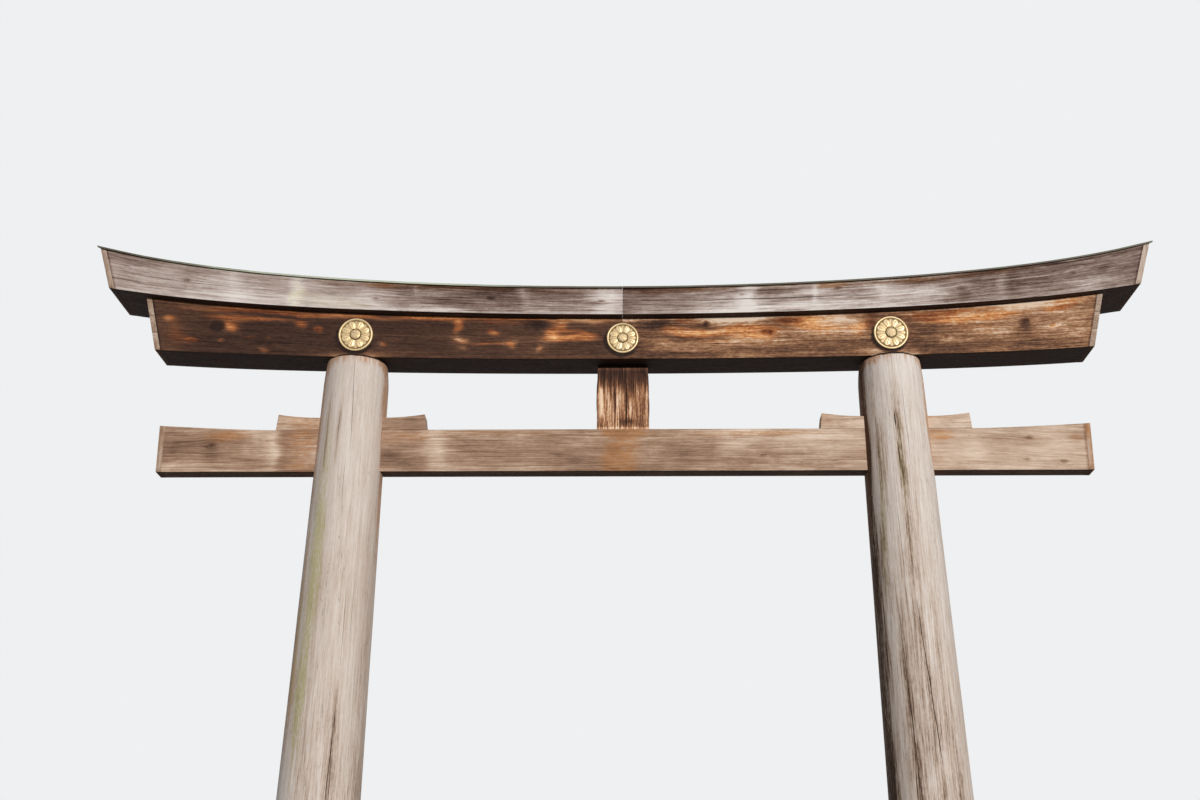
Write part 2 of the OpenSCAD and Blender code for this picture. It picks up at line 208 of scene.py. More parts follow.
granite = bpy.data.materials.new("grey_granite")
shade = emptied(granite)
at = shade.position()
blotch = at.noise(1.7, 3).ramp(0.35, 0.65)
grains = at.noise(95, 2, 0.7).ramp(0.40, 0.60)
mica = at.noise(160, 1, 0.6).ramp(0.60, 0.68)
colour = grains.over(seen(129, 128, 127), seen(188, 186, 181))
colour = (blotch * 0.35).over(colour, (0.36, 0.35, 0.33))
colour = (mica * 0.8).over(colour, (0.05, 0.05, 0.05))
height_up = at.node("ShaderNodeSeparateXYZ", {}, {"Vector": at}, "Z")
low = (height_up + at.noise(5, 4) * 0.10).ramp(0.04, 0.17, 1, 0)
colour = (low * at.noise(3, 3).ramp(0.42, 0.62) * 0.8).over(colour, seen(101, 108, 70))
colour = (low * 0.45).over(colour, (0.10, 0.09, 0.075))
finish_material(shade, colour, at.noise(30, 3).ramp(0.3, 0.7, 0.72, 0.92), grains + blotch, 0.0015)

for side, way in ways.items():
    outline = [(0, 0), (stone_r - stone_chamfer, 0), (stone_r, stone_chamfer)]
    outline += [(stone_r - back, stone_h - down) for back, down in round_corner(shoulder_r, 8)]
    bm = turned(outline + [(r, stone_h) for r in (*seat_rings, 0)], 96)
    long_edges = [e for e in bm.edges if e.calc_length() > 0.11]
    bmesh.ops.subdivide_edges(bm, edges=long_edges, cuts=2, use_grid_fill=True)
    bmesh.ops.recalc_face_normals(bm, faces=bm.faces)
    for v in bm.verts:
        inside = 0.002 < v.co.z < stone_h - 0.001
        r = math.hypot(v.co.x, v.co.y)
        if r > 0.5 and inside:
            dent = 0.5 + 0.5 * ripple(v.co.x * 4 + way * 9, v.co.y * 4, v.co.z * 5)
            v.co.xy *= 1 - stone_dents * dent / r
    bmesh.ops.translate(bm, verts=bm.verts, vec=(way * stone_x, 0, 0))
    add_piece(f"footing_{side}", bm, granite, "granite", f"base_stone_{side}")


# ---------------- Pillars
# Two straight cypress logs, tapered and leaning inwards, planed round and left bare. Sun and
# rain have bleached them silver, and they have split along the grain as they dried.
def clamp(share):
    return max(0.0, min(1.0, share))


def tones(*stops):
    """The stops of a colour ramp, from (place, red, green, blue) as seen on a screen."""
    return [(at, seen(*colour)) for at, *colour in stops]


lean = math.radians(2.08)
foot_x, foot_r, head_r, head_z, head_round = 4.66, 0.68, 0.512, 10.814, 0.07
log_rings, log_lines, line_gap = 124, 132, 0.0012
log_len = head_z / math.cos(lean)
silver_tones = tones(
    (0, 226, 219, 213), (0.2, 214, 203, 195), (0.45, 192, 175, 162), (0.65, 160, 139, 123),
    (0.85, 112, 90, 75), (1, 70, 51, 40),
)
sheltered_tones = tones((0, 212, 178, 152), (0.4, 178, 140, 112), (1, 88, 60, 44))
algae_tones = tones((0, 204, 198, 158), (0.5, 172, 164, 116), (1, 96, 86, 58))
crack_black = seen(40, 29, 24)

# Splits: height of foot and head, angle from the front at both (right is +), width, depth
log_splits = {
    "left": [
        (9.25, 10.8, 9.5, 3.6, 0.007, 0.03), (5.85, 7.6, 24.5, 22, 0.005, 0.02),
        (2.6, 5.55, 16, 23, 0.01, 0.045), (6.1, 7.3, 35, 35.5, 0.005, 0.02),
        (9.3, 9.97, -37, -36, 0.018, 0.034), (8.8, 9.42, -35, -38, 0.012, 0.026),
        (9.35, 9.85, -14.5, -13, 0.01, 0.022), (8.2, 9.1, 4, 3, 0.005, 0.018),
        (4.2, 6.4, 50, 49, 0.006, 0.025), (0.5, 3.9, -12, -9, 0.01, 0.045),
    ],
    "right": [
        (9.56, 9.8, -8.7, -8.9, 0.026, 0.07), (7.35, 9.3, -3, -2, 0.009, 0.035),
        (3.3, 7.15, 17, -5, 0.013, 0.055), (2.2, 7.4, -15, -34.5, 0.011, 0.05),
        (6.6, 8.9, -17, -19, 0.005, 0.018), (8.9, 10.4, 10, 9, 0.005, 0.018),
        (0.45, 3.6, 34, 30, 0.009, 0.04),
    ],
}
# Dirty and green streaks: height from and to, angle from and to, half width, how dark, how green
log_streaks = {
    "left": [
        (8.8, 10.2, -36, -37, 3, 0.4, 0.1), (8.9, 10, -15, -13, 3, 0.28, 0),
        (3.2, 5.8, 22, 22, 6, 0.3, 0), (3.8, 10.1, -34, -30, 12, 0.08, 0.85),
        (4, 9.2, -60, -54, 12, 0.05, 0.35), (3.6, 7.6, -20, -19, 4, 0.12, 0.1),
    ],
    "right": [
        (8.3, 10.5, -5, -4, 6, 0.34, 0.3), (6.9, 10, -3, -6, 5, 0.36, 0.3),
        (6.3, 9.8, -54, -34, 8, 0.34, 0.5), (3, 7.4, 12, -6, 6, 0.3, 0.1),
        (2.5, 7.3, -19, -34, 6, 0.25, 0.1), (4.5, 7.2, 26, 20, 4, 0.18, 0),
        (2, 8.6, -16, -14, 15, 0.1, 0.1), (8.6, 10.6, -38, -48, 9, 0.22, 0),
        (7, 9.2, 12, 12, 3, 0.15, 0), (3, 5.6, 36, 34, 7, 0.2, 0),
    ],
}


def swell(s, low, high):
    """0 at both ends of a stretch and 1 along its middle."""
    t = (s - low) / (high - low)
    return 0.0 if t <= 0 or t >= 1 else math.sin(math.pi * t) ** 0.6


def closed_bar(count_along, count_round, place):
    """Rolls a grid up into a closed bar. place gives each point, its grain and its paint."""
    bm = bmesh.new()
    bmesh.ops.create_grid(bm, x_segments=count_along - 1, y_segments=count_round, size=1)
    grain = bm.verts.layers.float_vector.new("grain")
    paints = {key: bm.verts.layers.float.new(key) for key in place(0, 0)[2]}
    for k, v in enumerate(bm.verts):
        j, i = divmod(k, count_along)
        v.co, v[grain], paint = place(i, j % count_round)
        for key, value in paint.items():
            v[paints[key]] = value
    bmesh.ops.remove_doubles(bm, verts=bm.verts, dist=1e-5)
    bmesh.ops.holes_fill(bm, edges=[e for e in bm.edges if e.is_boundary], sides=0)
    bmesh.ops.recalc_face_normals(bm, faces=bm.faces)
    return bm


def timber_material(name, plain, glows, cloud, streak, line, speck, dash, greens=None):
    """Bare timber along its painted grain. One value, pale to dark, picks the colour from plain.

    cloud, streak, line, speck and dash say how strongly each kind of mottling moves that value."""
    material = bpy.data.materials.new(name)
    shade = emptied(material)
    grain = shade.painted("grain", "Vector")
    clouds = grain.stretched(0.8, 2.6, 2.6).noise(1, 4, 0.6, 0.6) - 0.5
    streaks = grain.stretched(0.6, 20, 20).noise(1, 5, 0.66, 0.3) - 0.5
    lines = grain.stretched(1.6, 60, 60).noise(1, 3, 0.65) - 0.5
    specks = grain.stretched(12, 34, 34).noise(1, 3, 0.7) - 0.5
    dashes = grain.stretched(1.1, 42, 42).noise(1, 2, 0.5, 0.2).ramp(0.60, 0.72)
    weather = clouds * cloud + streaks * streak + lines * line + specks * speck + dashes * dash
    tone = shade.painted("tone") + 0.5 + weather * shade.painted("lively")
    colour = tone.toned(plain)
    lit = shade.painted("glow") * (streaks * 3.0 + specks * 2.2 + clouds * 2.2 + 1)
    colour = lit.ramp(0.12, 1.05).over(colour, tone.toned(glows))
    if greens:
        mossy = shade.painted("green") * (streaks * 2.0 + specks * 2.5 + clouds * 1.5 + 1)
        colour = (mossy.ramp(0.15, 0.9) * 0.85).over(colour, tone.toned(greens))
    hair = grain.stretched(0.35, 7, 7).noise(1, 4, 0.6, 0.3) - 0.5
    hair = hair.maths("ABSOLUTE", hair).ramp(0.0, 0.005, 1, 0) * (clouds * 4 + 0.3).ramp(0.0, 0.6)
    colour = (hair * 0.5).over(colour, crack_black)
    colour = shade.painted("split").ramp(0.05, 0.6).over(colour, crack_black)
    rough = (lines + specks).ramp(-0.3, 0.3, 0.66, 0.9)
    relief = streaks * 0.5 + lines * 0.5 - dashes * 0.2
    finish_material(shade, colour, rough, relief, 0.004, **{"Specular IOR Level": 0.18})
    return material


def streak_at(streak, s, degrees):
    """How strongly a streak covers a place on the log."""
    low, high, a0, a1, wide = streak[:5]
    middle = a0 + (a1 - a0) * (s - low) / (high - low)
    return math.exp(-(((degrees - middle) / wide) ** 2)) * swell(s, low, high)


def log_paint(side, s, degrees, opened):
    """Dirt, shelter, algae, painted shade and painted light on a log at a height and an angle from
    the front.
    """
    outer = (degrees < 0) == (side == "left")
    away = abs(degrees) + ripple(degrees * 0.05, s * 0.9, 2.0) * 9
    # The bleached front is narrow under the lintel and widens downwards
    widens = max(0.0, 10.72 - s)
    bare_to = (42 if side == "left" else 48) + 7 * widens if outer else 56 + 5 * widens
    sheltered = clamp((away - bare_to) / 12) * clamp((s - 6.0) / 2.5)
    sheltered *= 1 - 0.75 * clamp((away - 80) / 30)
    drips = 0.5 + 1.4 * ripple(degrees * 0.16, 8.0, ways[side]) + 0.02 * away
    sheltered += drips * max(0.0, 1 - (log_len - s) / 0.24)
    ragged = ripple(degrees * 0.09, 3.0, ways[side]) * 0.012
    rim = clamp((s - log_len + 0.056 + ragged) / 0.022)
    here = [(streak_at(streak, s, degrees), streak) for streak in log_streaks[side]]
    tone, green = (sum(covered * streak[k] for covered, streak in here) for k in (5, 6))
    weathered = 0.21 if side == "left" else 0.30 - 0.02 * max(0.0, 10.5 - s) / 2
    weathered -= 0.08 * clamp(8.3 - s) if side == "right" else 0.04 * clamp(8 - s)
    tone += 0.15 * max(0.0, 1 - s / 1.6) - weathered + 0.04 * max(0.0, 6 - s) / 4
    tone += 0.14 * clamp((away - (64 if outer else 46)) / 24)
    if side == "right" and not outer:
        # The right log's inner side: its own sheltered brown, darkened further as painted shade for
        # the side turned from the key light.
        tone += 0.6 * clamp((away - 54) / 14) * (1 - 0.8 * clamp((away - 102) / 18))
    elif side == "left" and outer:
        # The left log's outer side is painted lighter, as painted light against its shading, and
        # given a sheltered tan.
        lit_tan_limb = clamp((away - 44) / 14)
        tone -= 0.28 * lit_tan_limb
        sheltered = max(sheltered, 0.75 * lit_tan_limb * clamp((s - 3) / 2) * (1 - clamp((away - 90) / 30)))
    lively = 0.85 + 2.6 * max(0.0, min(0.5, tone + 0.22))
    if side == "left":
        lively += (0.55 - lively) * clamp((s - 3.6) / 3)
    green += 0.4 * max(0.0, 1 - s)
    return {
        "split": max(opened, rim), "tone": tone, "glow": sheltered, "green": green,
        "lively": lively,
    }


def log_bar(side, way):
    """One log: a grid rolled round the leaning axis, with three grid lines for every split."""
    dice = random.Random(11 if way < 0 else 23)
    splits = list(log_splits[side])
    for _ in range(15):
        low, at = dice.uniform(0.4, 7.5), dice.uniform(62, 298)
        splits.append((
            low, min(low + dice.uniform(1.0, 4.2), 10.6), at, at + dice.uniform(-6, 6),
            dice.uniform(0.004, 0.011), dice.uniform(0.015, 0.045),
        ))

    def split_angle(split, s):
        low, high, a0, a1 = split[:4]
        t = clamp((s - low) / (high - low))
        wander = ripple(s * 1.7, split[0] * 7, split[2]) * 0.9
        wander += ripple(s * 9.0, split[0] * 3, split[2]) * 0.25
        return math.radians(a0 + (a1 - a0) * t + wander)

    foot = stone_h / math.cos(lean) - 0.03
    rise = log_len - head_round - foot
    heights = [foot + rise * k / log_rings for k in range(log_rings)]
    profile = [(s, foot_r + (head_r - foot_r) * s / log_len) for s in heights]
    profile += [(log_len - down, head_r - back) for back, down in round_corner(head_round, 10)]
    profile += [(log_len, head_r * share) for share in (0.7, 0.45, 0.2)]

    # Plain lines and the three of each split, in the order in which they go round the log
    lines = [(k * math.tau / log_lines, None, 0) for k in range(log_lines)]
    for split in splits:
        middle = split_angle(split, (split[0] + split[1]) / 2) % math.tau
        lines += [(middle + 1e-4 * part, split, part) for part in (-1, 0, 1)]
    lines.sort(key=lambda line: line[0])
    fixed = [k for k, line in enumerate(lines) if line[1]]

    rings = []
    for s, r in profile:
        ring = []
        for base, split, part in lines:
            if split:
                gape = swell(s, split[0], split[1])
                centre = split_angle(split, s)
                centre += round((base - centre) / math.tau) * math.tau
                ring.append([centre + part * max(0.0009, split[4] * gape / 2) / max(r, 0.1), gape])
            else:
                ring.append([base, 0.0])
        for k, line in enumerate(lines):
            if not line[1]:
                before = max((f for f in fixed if f < k), default=None)
                after = min((f for f in fixed if f > k), default=None)
                if after is not None:
                    ring[k][0] = min(ring[k][0], ring[after][0] - line_gap * (after - k))
                if before is not None:
                    ring[k][0] = max(ring[k][0], ring[before][0] + line_gap * (k - before))
        rings.append(ring)
    turn_in = Matrix.Rotation(-way * lean, 3, "Y")

    def place(i, j):
        s, r = profile[i]
        a, gape = rings[i][j]
        _, split, part = lines[j]
        x, y = math.sin(a), -math.cos(a)
        opened = 0.0
        near_head = max(0.0, 1 - (log_len - s) / 0.42)
        r *= 1 - (0.085 if x * way < 0 else 0.045) * x * x * near_head ** 1.5
        if r > head_r * 0.9:
            wave = ripple(x * 1.4 + way * 5, y * 1.4, s * 0.35) * 0.0035
            wave += ripple(x * 9, y * 9 + way * 3, s * 0.8) * 0.0012
            r -= max(0.0, 0.002 - wave)
            if split and part == 0:
                r -= split[5] * gape
                opened = min(1.0, gape * 1.4)
        point = turn_in @ Vector((r * x, r * y, s))
        point.x += way * foot_x
        degrees = (math.degrees(a) + 180) % 360 - 180
        return point, Vector((s, r * x + 3.1 * way, r * y)), log_paint(side, s, degrees, opened)

    return closed_bar(len(profile), len(lines), place)


log_timber = timber_material(
    "silvered_cypress_log", silver_tones, sheltered_tones, 0.4, 0.7, 0.9, 0.35, 0.2, algae_tones
)
for side, way in ways.items():
    bar = log_bar(side, way)
    add_piece(f"log_pillar_{side}", bar, log_timber, "pillar_timber", f"pillar_{side}", 50)


# ---------------- Tie beam
# One squared cypress timber, 324 mm thick, that runs through both pillars and flares up a
# little at its ends, where a board nailed over the end grain keeps the rain out.
beam_z, beam_h, beam_half_t, beam_half_l, beam_board = 8.950, 0.688, 0.162, 7.35, 0.084
flare_rise, flare_long, arris = 0.079, 1.8, 0.009


def hundredths(rows):
    """A table of numbers in hundredths, for one timber or for the left and right one."""
    if isinstance(rows, dict):
        return {side: hundredths(mine) for side, mine in rows.items()}
    return [tuple(value / 100 for value in row) for row in rows]


tan_tones = tones(
    (0, 230, 211, 194), (0.25, 200, 175, 154), (0.5, 162, 131, 109), (0.75, 124, 96, 78),
    (1, 80, 56, 43),
)
amber_tones = tones((0, 222, 180, 138), (0.4, 182, 134, 94), (1, 108, 69, 45))
# How much darker than plain tan the face has weathered: place in cm, percent
beam_wear = hundredths([
    (-740, -3), (-480, 0), (-220, -3), (-40, 4), (100, -6), (240, -19), (360, -17), (740, -15),
])
# Patches: place along in cm, height as a percentage, two half sizes, how amber, how much darker
beam_patches = hundredths([
    (-8, 50, 28, 90, 120, 10), (5, 90, 30, 12, 90, 4), (-512, 60, 24, 80, 60, 6),
    (-625, 87, 45, 14, 70, 0), (-548, 60, 11, 90, 0, -28), (-578, 72, 30, 45, 0, -18),
    (-532, 50, 16, 35, 20, 24), (-710, 52, 35, 16, 0, 16), (-649, 45, 10, 30, 0, 20),
    (-725, 16, 22, 5, 0, -25), (-620, 12, 50, 8, 0, 8), (-345, 85, 45, 16, 60, 0),
    (-368, 36, 24, 16, 10, 22), (-292, 50, 22, 120, 0, -34), (-162, 30, 80, 20, 0, 12),
    (-190, 90, 120, 10, 40, -4), (-85, 26, 45, 22, 0, 18), (-40, 62, 30, 14, 0, 10),
    (85, 42, 35, 25, 0, 12), (142, 46, 16, 30, 0, 16), (210, 88, 130, 10, 60, -6),
    (235, 40, 35, 25, 0, 12), (300, 35, 30, 30, 20, 6), (502, 84, 22, 14, 70, 0),
    (550, 50, 26, 90, 0, -14), (410, 86, 50, 14, 40, 6), (708, 74, 14, 12, 60, 8),
])
beam_knots = hundredths([
    (-650, 44, 5), (638, 53, 3), (688, 13, 3.6), (632, 17, 2.8), (220, 25, 2.4),
])


def read_along(points, x):
    """The value at x of a line drawn through points, flat beyond its ends."""
    for (x0, v0), (x1, v1) in zip(points, points[1:]):
        if x0 <= x <= x1:
            return v0 + (v1 - v0) * (x - x0) / (x1 - x0)
    return points[0][1] if x < points[0][0] else points[-1][1]


def uneven_patches(patches, along, up):
    """How much glow and tone the patches lay on a face, with their outlines blown about."""
    push_along, push_up = (
        ripple(along * 1.7, up * 2.2, lane) + 0.6 * ripple(along * 5.0, up * 5.0, lane)
        for lane in (7.4, 23.8)
    )
    along, up = along + push_along * 0.09, up + push_up * 0.06
    glow = tone = 0.0
    for x, share, wide, tall, gives_glow, gives_tone in patches:
        if abs(along - x) < 2.5 * wide:
            here = math.exp(-(((along - x) / wide) ** 2) - ((up - share) / tall) ** 2)
            glow += here * gives_glow
            tone += here * gives_tone
    return glow, tone


def round_knots(knots, along, height):
    """How far the grain steps aside round the knots, and how near the heart of one it is."""
    aside = heart = 0.0
    for x, z, r in knots:
        across, over = (along - x) * 0.5, height - z
        gap = across * across + over * over
        if gap < 25 * r * r:
            aside -= over * min(1.0, r * r / max(gap, 1e-9))
            heart += math.exp(-gap * 1.6 / (r * r))
    return aside, heart


def drying_splits(seed, how_many, low, high, faces, longest):
    """Scatters fine splits along the grain: face, share across it, from, to, width, depth."""
    dice = random.Random(seed)
    found = []
    for _ in range(how_many):
        start = dice.uniform(low, high - 0.5)
        found.append((
            dice.choice(faces), dice.uniform(0.10, 0.90), start,
            min(high, start + dice.uniform(0.4, longest)), dice.uniform(0.002, 0.005),
            dice.uniform(0.008, 0.022),
        ))
    return found


def squared_timber(name, stations, section, rows, splits, paint, put, seed, kinds, ends=None):
    """A sawn timber: a grid rolled round its section, with eased arrises and opened splits.

    section gives the corners at a station, rows how many strips each face has, put the point for
    a place in the section, and ends how long the timber is there, where its ends are slanted."""
    ring = []
    for k, strips in enumerate(rows):
        mine = []
        for split in sorted((s for s in splits if s[0] == k), key=lambda s: s[1]):
            if not mine or split[1] - mine[-1][1] > 0.03:
                mine.append(split)
        shares = [n / strips for n in range(1, strips)]
        clear = [share for share in shares if all(abs(share - s[1]) > 0.02 for s in mine)]
        lines = [(share, 0, None) for share in clear]
        lines += [(s[1] + 1e-6 * part, part, s) for s in mine for part in (-1, 0, 1)]
        ring += [(k, 0.0, 0.0, "arris", None), (k, 0.0, arris, 0, None)]
        lines.sort(key=lambda line: line[0])
        ring += [(k, share, 0.0, part, s) for share, part, s in lines]
        ring.append((k, 1.0, -arris, 0, None))

    def spot(along, mark):
        corners = [Vector(corner) for corner in section(along)]
        k, share, step, part, split = mark
        a, b = corners[k], corners[(k + 1) % len(corners)]
        run = (b - a).normalized()
        if part == "arris":
            return a + (run + (corners[k - 1] - a).normalized()) * arris * (1 - math.sqrt(0.5)), 0.0
        here = a + (b - a) * share + run * step
        if not split:
            return here, 0.0
        gape = swell(along, split[2], split[3])
        drift = ripple(along * 1.3, split[1] * 50, seed) * 0.010
        drift += ripple(along * 7, split[1] * 50, seed) * 0.0025
        here += run * (drift + part * max(0.0006, split[4] * gape / 2))
        if part:
            return here, 0.0
        return here + Vector((run.y, -run.x)) * split[5] * gape, min(1.0, gape * 1.5)

    def place(i, j):
        along = stations[i]
        here, opened = spot(along, ring[j])
        for _ in range(2 if ends else 0):
            along = stations[i] / stations[-1] * ends(here)
            here, opened = spot(along, ring[j])
        here.x *= 1 - 0.0035 * (0.5 + 0.5 * ripple(along * 0.9, here.x * 3 + seed, here.y * 3))
        shades = paint(along, ring[j][0], here.x, here.y)
        shades["tone"] += 0.3 * max(0.0, 1 - (stations[-1] - stations[i]) / 0.012)
        return put(along, here.x, here.y), shades.pop("grain"), {"split": opened, **shades}

    add_piece(name, closed_bar(len(stations), len(ring), place), *kinds)


def steps(low, high, size):
    count = max(1, round((high - low) / size))
    return [low + (high - low) * k / count for k in range(count + 1)]


def nailed_board(name, inner, outer, grain_of, paint_of, material, slot, node, edge=0.006):
    """A flat board from the outline of its inner and outer face, with eased edges."""
    bm = bmesh.new()
    face = bm.faces.new([bm.verts.new(corner) for corner in inner])
    grown = bmesh.ops.extrude_face_region(bm, geom=[face])
    for v in grown["geom"]:
        if isinstance(v, bmesh.types.BMVert):
            v.co = outer[min(range(len(inner)), key=lambda k: (Vector(inner[k]) - v.co).length)]
    long_edges = [e for e in bm.edges if e.calc_length() > 0.3]
    bmesh.ops.subdivide_edges(bm, edges=long_edges, cuts=7, use_grid_fill=True)
    bmesh.ops.recalc_face_normals(bm, faces=bm.faces)
    sharp = [e for e in bm.edges if len(e.link_faces) == 2 and e.calc_face_angle() > 0.6]
    bmesh.ops.bevel(
        bm, geom=sharp, offset=edge, offset_type="OFFSET", affect="EDGES", segments=2, profile=0.5,
        material=-1,
    )
    grain = bm.verts.layers.float_vector.new("grain")
    paints = {key: bm.verts.layers.float.new(key) for key in ("tone", "glow", "lively")}
    for v in bm.verts:
        v[grain] = grain_of(v.co)
        for key, value in zip(paints, (*paint_of(v.co, v.normal), 1.0)):
            v[paints[key]] = value
    add_piece(name, bm, material, slot, node)


def flare(x):
    return flare_rise * max(0.0, (abs(x) - (beam_half_l - flare_long)) / flare_long) ** 1.4


def beam_section(x):
    top = beam_z + beam_h + flare(x)
    return [(-beam_half_t, beam_z), (-beam_half_t, top), (beam_half_t, top), (beam_half_t, beam_z)]


def beam_paint(x, face, y, z):
    height = z - beam_z
    glow, tone = uneven_patches(beam_patches, x, height / beam_h)
    aside, heart = round_knots(beam_knots, x, height)
    near_log = math.exp(-(((abs(x) - 4.95) / 0.22) ** 2))
    if face != 0:
        glow, tone, heart = 0.3 * near_log, 0.06 * ripple(x, y, z), 0.0
    # The underside is painted darker: partly sheltered wood, partly painted shade.
    tone += read_along(beam_wear, x) if face in (0, 2) else 0.42 if face == 3 else 0.05
    sag = 0.05 * max(0.0, x - 5.2)
    return {
        "grain": Vector((x, y, height + aside + sag)), "tone": tone + 0.4 * heart,
        "glow": glow + 0.25 * near_log + 0.3 * heart, "lively": 0.8 if x > 3.5 else 1.0,
    }


beam_timber = timber_material("tan_cypress_beam", tan_tones, amber_tones, 0.95, 0.5, 0.75, 0.3, 0.2)
board_timber = timber_material(
    "pale_end_board",
    tones((0, 228, 215, 203), (0.35, 202, 184, 170), (0.65, 160, 136, 118), (1, 84, 62, 50)),
    amber_tones, 0.4, 0.5, 0.6, 0.2, 0.15,
)
beam_end = beam_half_l - beam_board
squared_timber(
    "squared_tie_beam", steps(-beam_end, beam_end, 0.045), beam_section, (22, 4, 14, 5),
    drying_splits(5, 22, -7.2, 7.2, [0, 0, 0, 2, 2, 1], 2.6), beam_paint,
    lambda x, y, z: Vector((x, y, z)), 1.7, (beam_timber, "beam_timber", "tie_beam"),
)
for side, way in ways.items():
    nailed_board(
        f"beam_end_board_{side}",
        [(way * beam_end, y, z) for y, z in beam_section(beam_end)],
        [(way * beam_half_l, y, z) for y, z in beam_section(beam_half_l)],
        lambda co: Vector((co.z, co.y + 7, co.x)),
        # Downward faces are painted darker: partly sheltered wood, partly painted shade.
        lambda co, normal: (
            (-0.02 if co.x > 0 else 0.08) + 0.9 * max(0.0, -normal.z), 0.7 if co.x > 0 else 0.35,
        ),
        board_timber, "end_board_timber", f"tie_beam_end_board_{side}",
    )


# ---------------- Wedges
# Four long cypress wedges, driven in over the tie beam from both sides of each pillar. Their
# tops are hollowed and their ends cut back at a slant.
grip_x, mouth_half = 4.30622, 0.50353
wedge_start, wedge_reach, wedge_slant = 0.012, 1.193, 0.030
wedge_thin, wedge_mouth, wedge_tip = 0.164, 0.204, 0.262


def wedge_top(s):
    if s < mouth_half:
        return wedge_thin + (wedge_mouth - wedge_thin) * s / mouth_half
    further = (s - mouth_half) / (wedge_reach - mouth_half)
    return wedge_mouth + (wedge_tip - wedge_mouth) * further ** 2


for side, way in ways.items():
    for part, out, fresh in (("outer", 1, 0.4), ("inner", -1, 0.05 if way < 0 else 0.3)):
        hollow = steps(mouth_half, wedge_reach - wedge_slant, 0.045)
        line = [(wedge_start, 0.0), (0.4, 0.0), (0.8, 0.0), (wedge_reach, 0.0)]
        line += [(wedge_reach - wedge_slant / 2, wedge_tip / 2)]
        line += [(s, wedge_top(s)) for s in (*reversed(hollow), wedge_start)]
        front = [
            Vector((way * (grip_x + out * s), -beam_half_t, beam_z + beam_h + h)) for s, h in line
        ]
        darker = {("left", "outer"): -0.22, ("left", "inner"): 0.0}.get((side, part), -0.27)
        nailed_board(
            f"driven_wedge_{side}_{part}",
            front, [corner + Vector((0, 2 * beam_half_t, 0)) for corner in front],
            lambda co, shift=3.7 * out + way: Vector((co.x + shift, co.y + 2, co.z + shift)),
            lambda co, normal, darker=darker, fresh=fresh: (
                darker + (0.1 if normal.z > 0.7 else 0.0),
                fresh * (0.8 + 1.2 * noise.noise(co * 2.2)),
            ),
            beam_timber, "beam_timber", f"wedge_{side}_{part}", 0.007,
        )


# ---------------- Centre strut
# A short upright block with its grain standing, let in between tie beam and lower lintel.
# Rain has streaked it: dark at the head, tan below, and a pale band where it meets the beam.
# Its faces stop short of the lintel at an edge painted lighter as a highlight, and a thinner
# tongue, painted dark as shade, goes on up.
strut_foot, strut_head, strut_half_t = 0.828, 0.803, 0.15
strut_h, strut_edge, tongue_half_t = 1.11, 1.030, 0.03
strut_tones = tones(
    (0, 240, 212, 184), (0.2, 206, 158, 118), (0.42, 156, 106, 74), (0.62, 106, 70, 50),
    (0.82, 72, 45, 33), (1, 40, 25, 19),
)


def strut_section(s):
    half = (strut_foot + (strut_head - strut_foot) * s / strut_h) / 2
    deep = strut_half_t if s < strut_edge + 0.001 else tongue_half_t
    return [(-deep, half), (-deep, -half), (deep, -half), (deep, half)]


def strut_paint(s, face, y, x):
    t = s / strut_h
    tongue = ripple(x * 9, y * 9, 4.0) * 0.16 + ripple(x * 30, y * 30, 1.0) * 0.20
    wet = clamp((t + tongue - 0.50) / 0.24)
    foot = clamp((0.040 - t) / 0.012)
    # Lighter towards the top edge of the faces as a painted highlight; the tongue above is painted
    # dark as painted shade.
    head = clamp((s - strut_edge + 0.055) / 0.02) if s < strut_edge + 0.001 else -6.0
    smudge = math.exp(-(((x - 0.08) / 0.13) ** 2) - ((t - 0.12) / 0.05) ** 2)
    stripes = sum(
        math.exp(-(((x - at) / wide) ** 2) - ((t - middle) / tall) ** 2) * deep
        for at, wide, middle, tall, deep in (
            (-0.35, 0.03, 0.45, 0.24, -0.9), (-0.03, 0.035, 0.42, 0.22, -0.3),
            (0.3, 0.05, 0.3, 0.2, 0.18), (0.065, 0.022, 0.4, 0.25, 0.55),
            (0.105, 0.022, 0.35, 0.25, -0.42), (0.2, 0.03, 0.45, 0.2, -0.15),
            (-0.2, 0.05, 0.3, 0.2, -0.15), (-0.13, 0.025, 0.5, 0.2, 0.25),
        )
    ) if face == 0 else 0.0
    tone = -0.08 + 0.48 * wet - 0.26 * foot - 0.15 * head + 0.4 * smudge + stripes * (1 - 0.7 * wet)
    return {
        "grain": Vector((s * 1.5, (x + 5) * 1.7, y * 1.7)), "tone": tone,
        "glow": 0.35 * max(0.0, 1 - abs(t - 0.45) / 0.4), "lively": 1.0 - 0.55 * wet,
    }


strut_timber = timber_material(
    "streaked_strut", strut_tones, tones((0, 232, 184, 140), (0.4, 172, 118, 78), (1, 74, 42, 28)),
    0.5, 2.2, 1.8, 0.9, 0.35,
)
squared_timber(
    "upright_strut", steps(0, strut_edge, 0.025) + [strut_edge + 0.002, strut_h], strut_section,
    (28, 10, 28, 10), drying_splits(8, 12, 0.0, 0.98, [0, 0, 2, 1, 3], 0.8), strut_paint,
    lambda s, y, x: Vector((x, y, beam_z + beam_h + s)), 4.1,
    (strut_timber, "strut_timber", "centre_strut"),
)


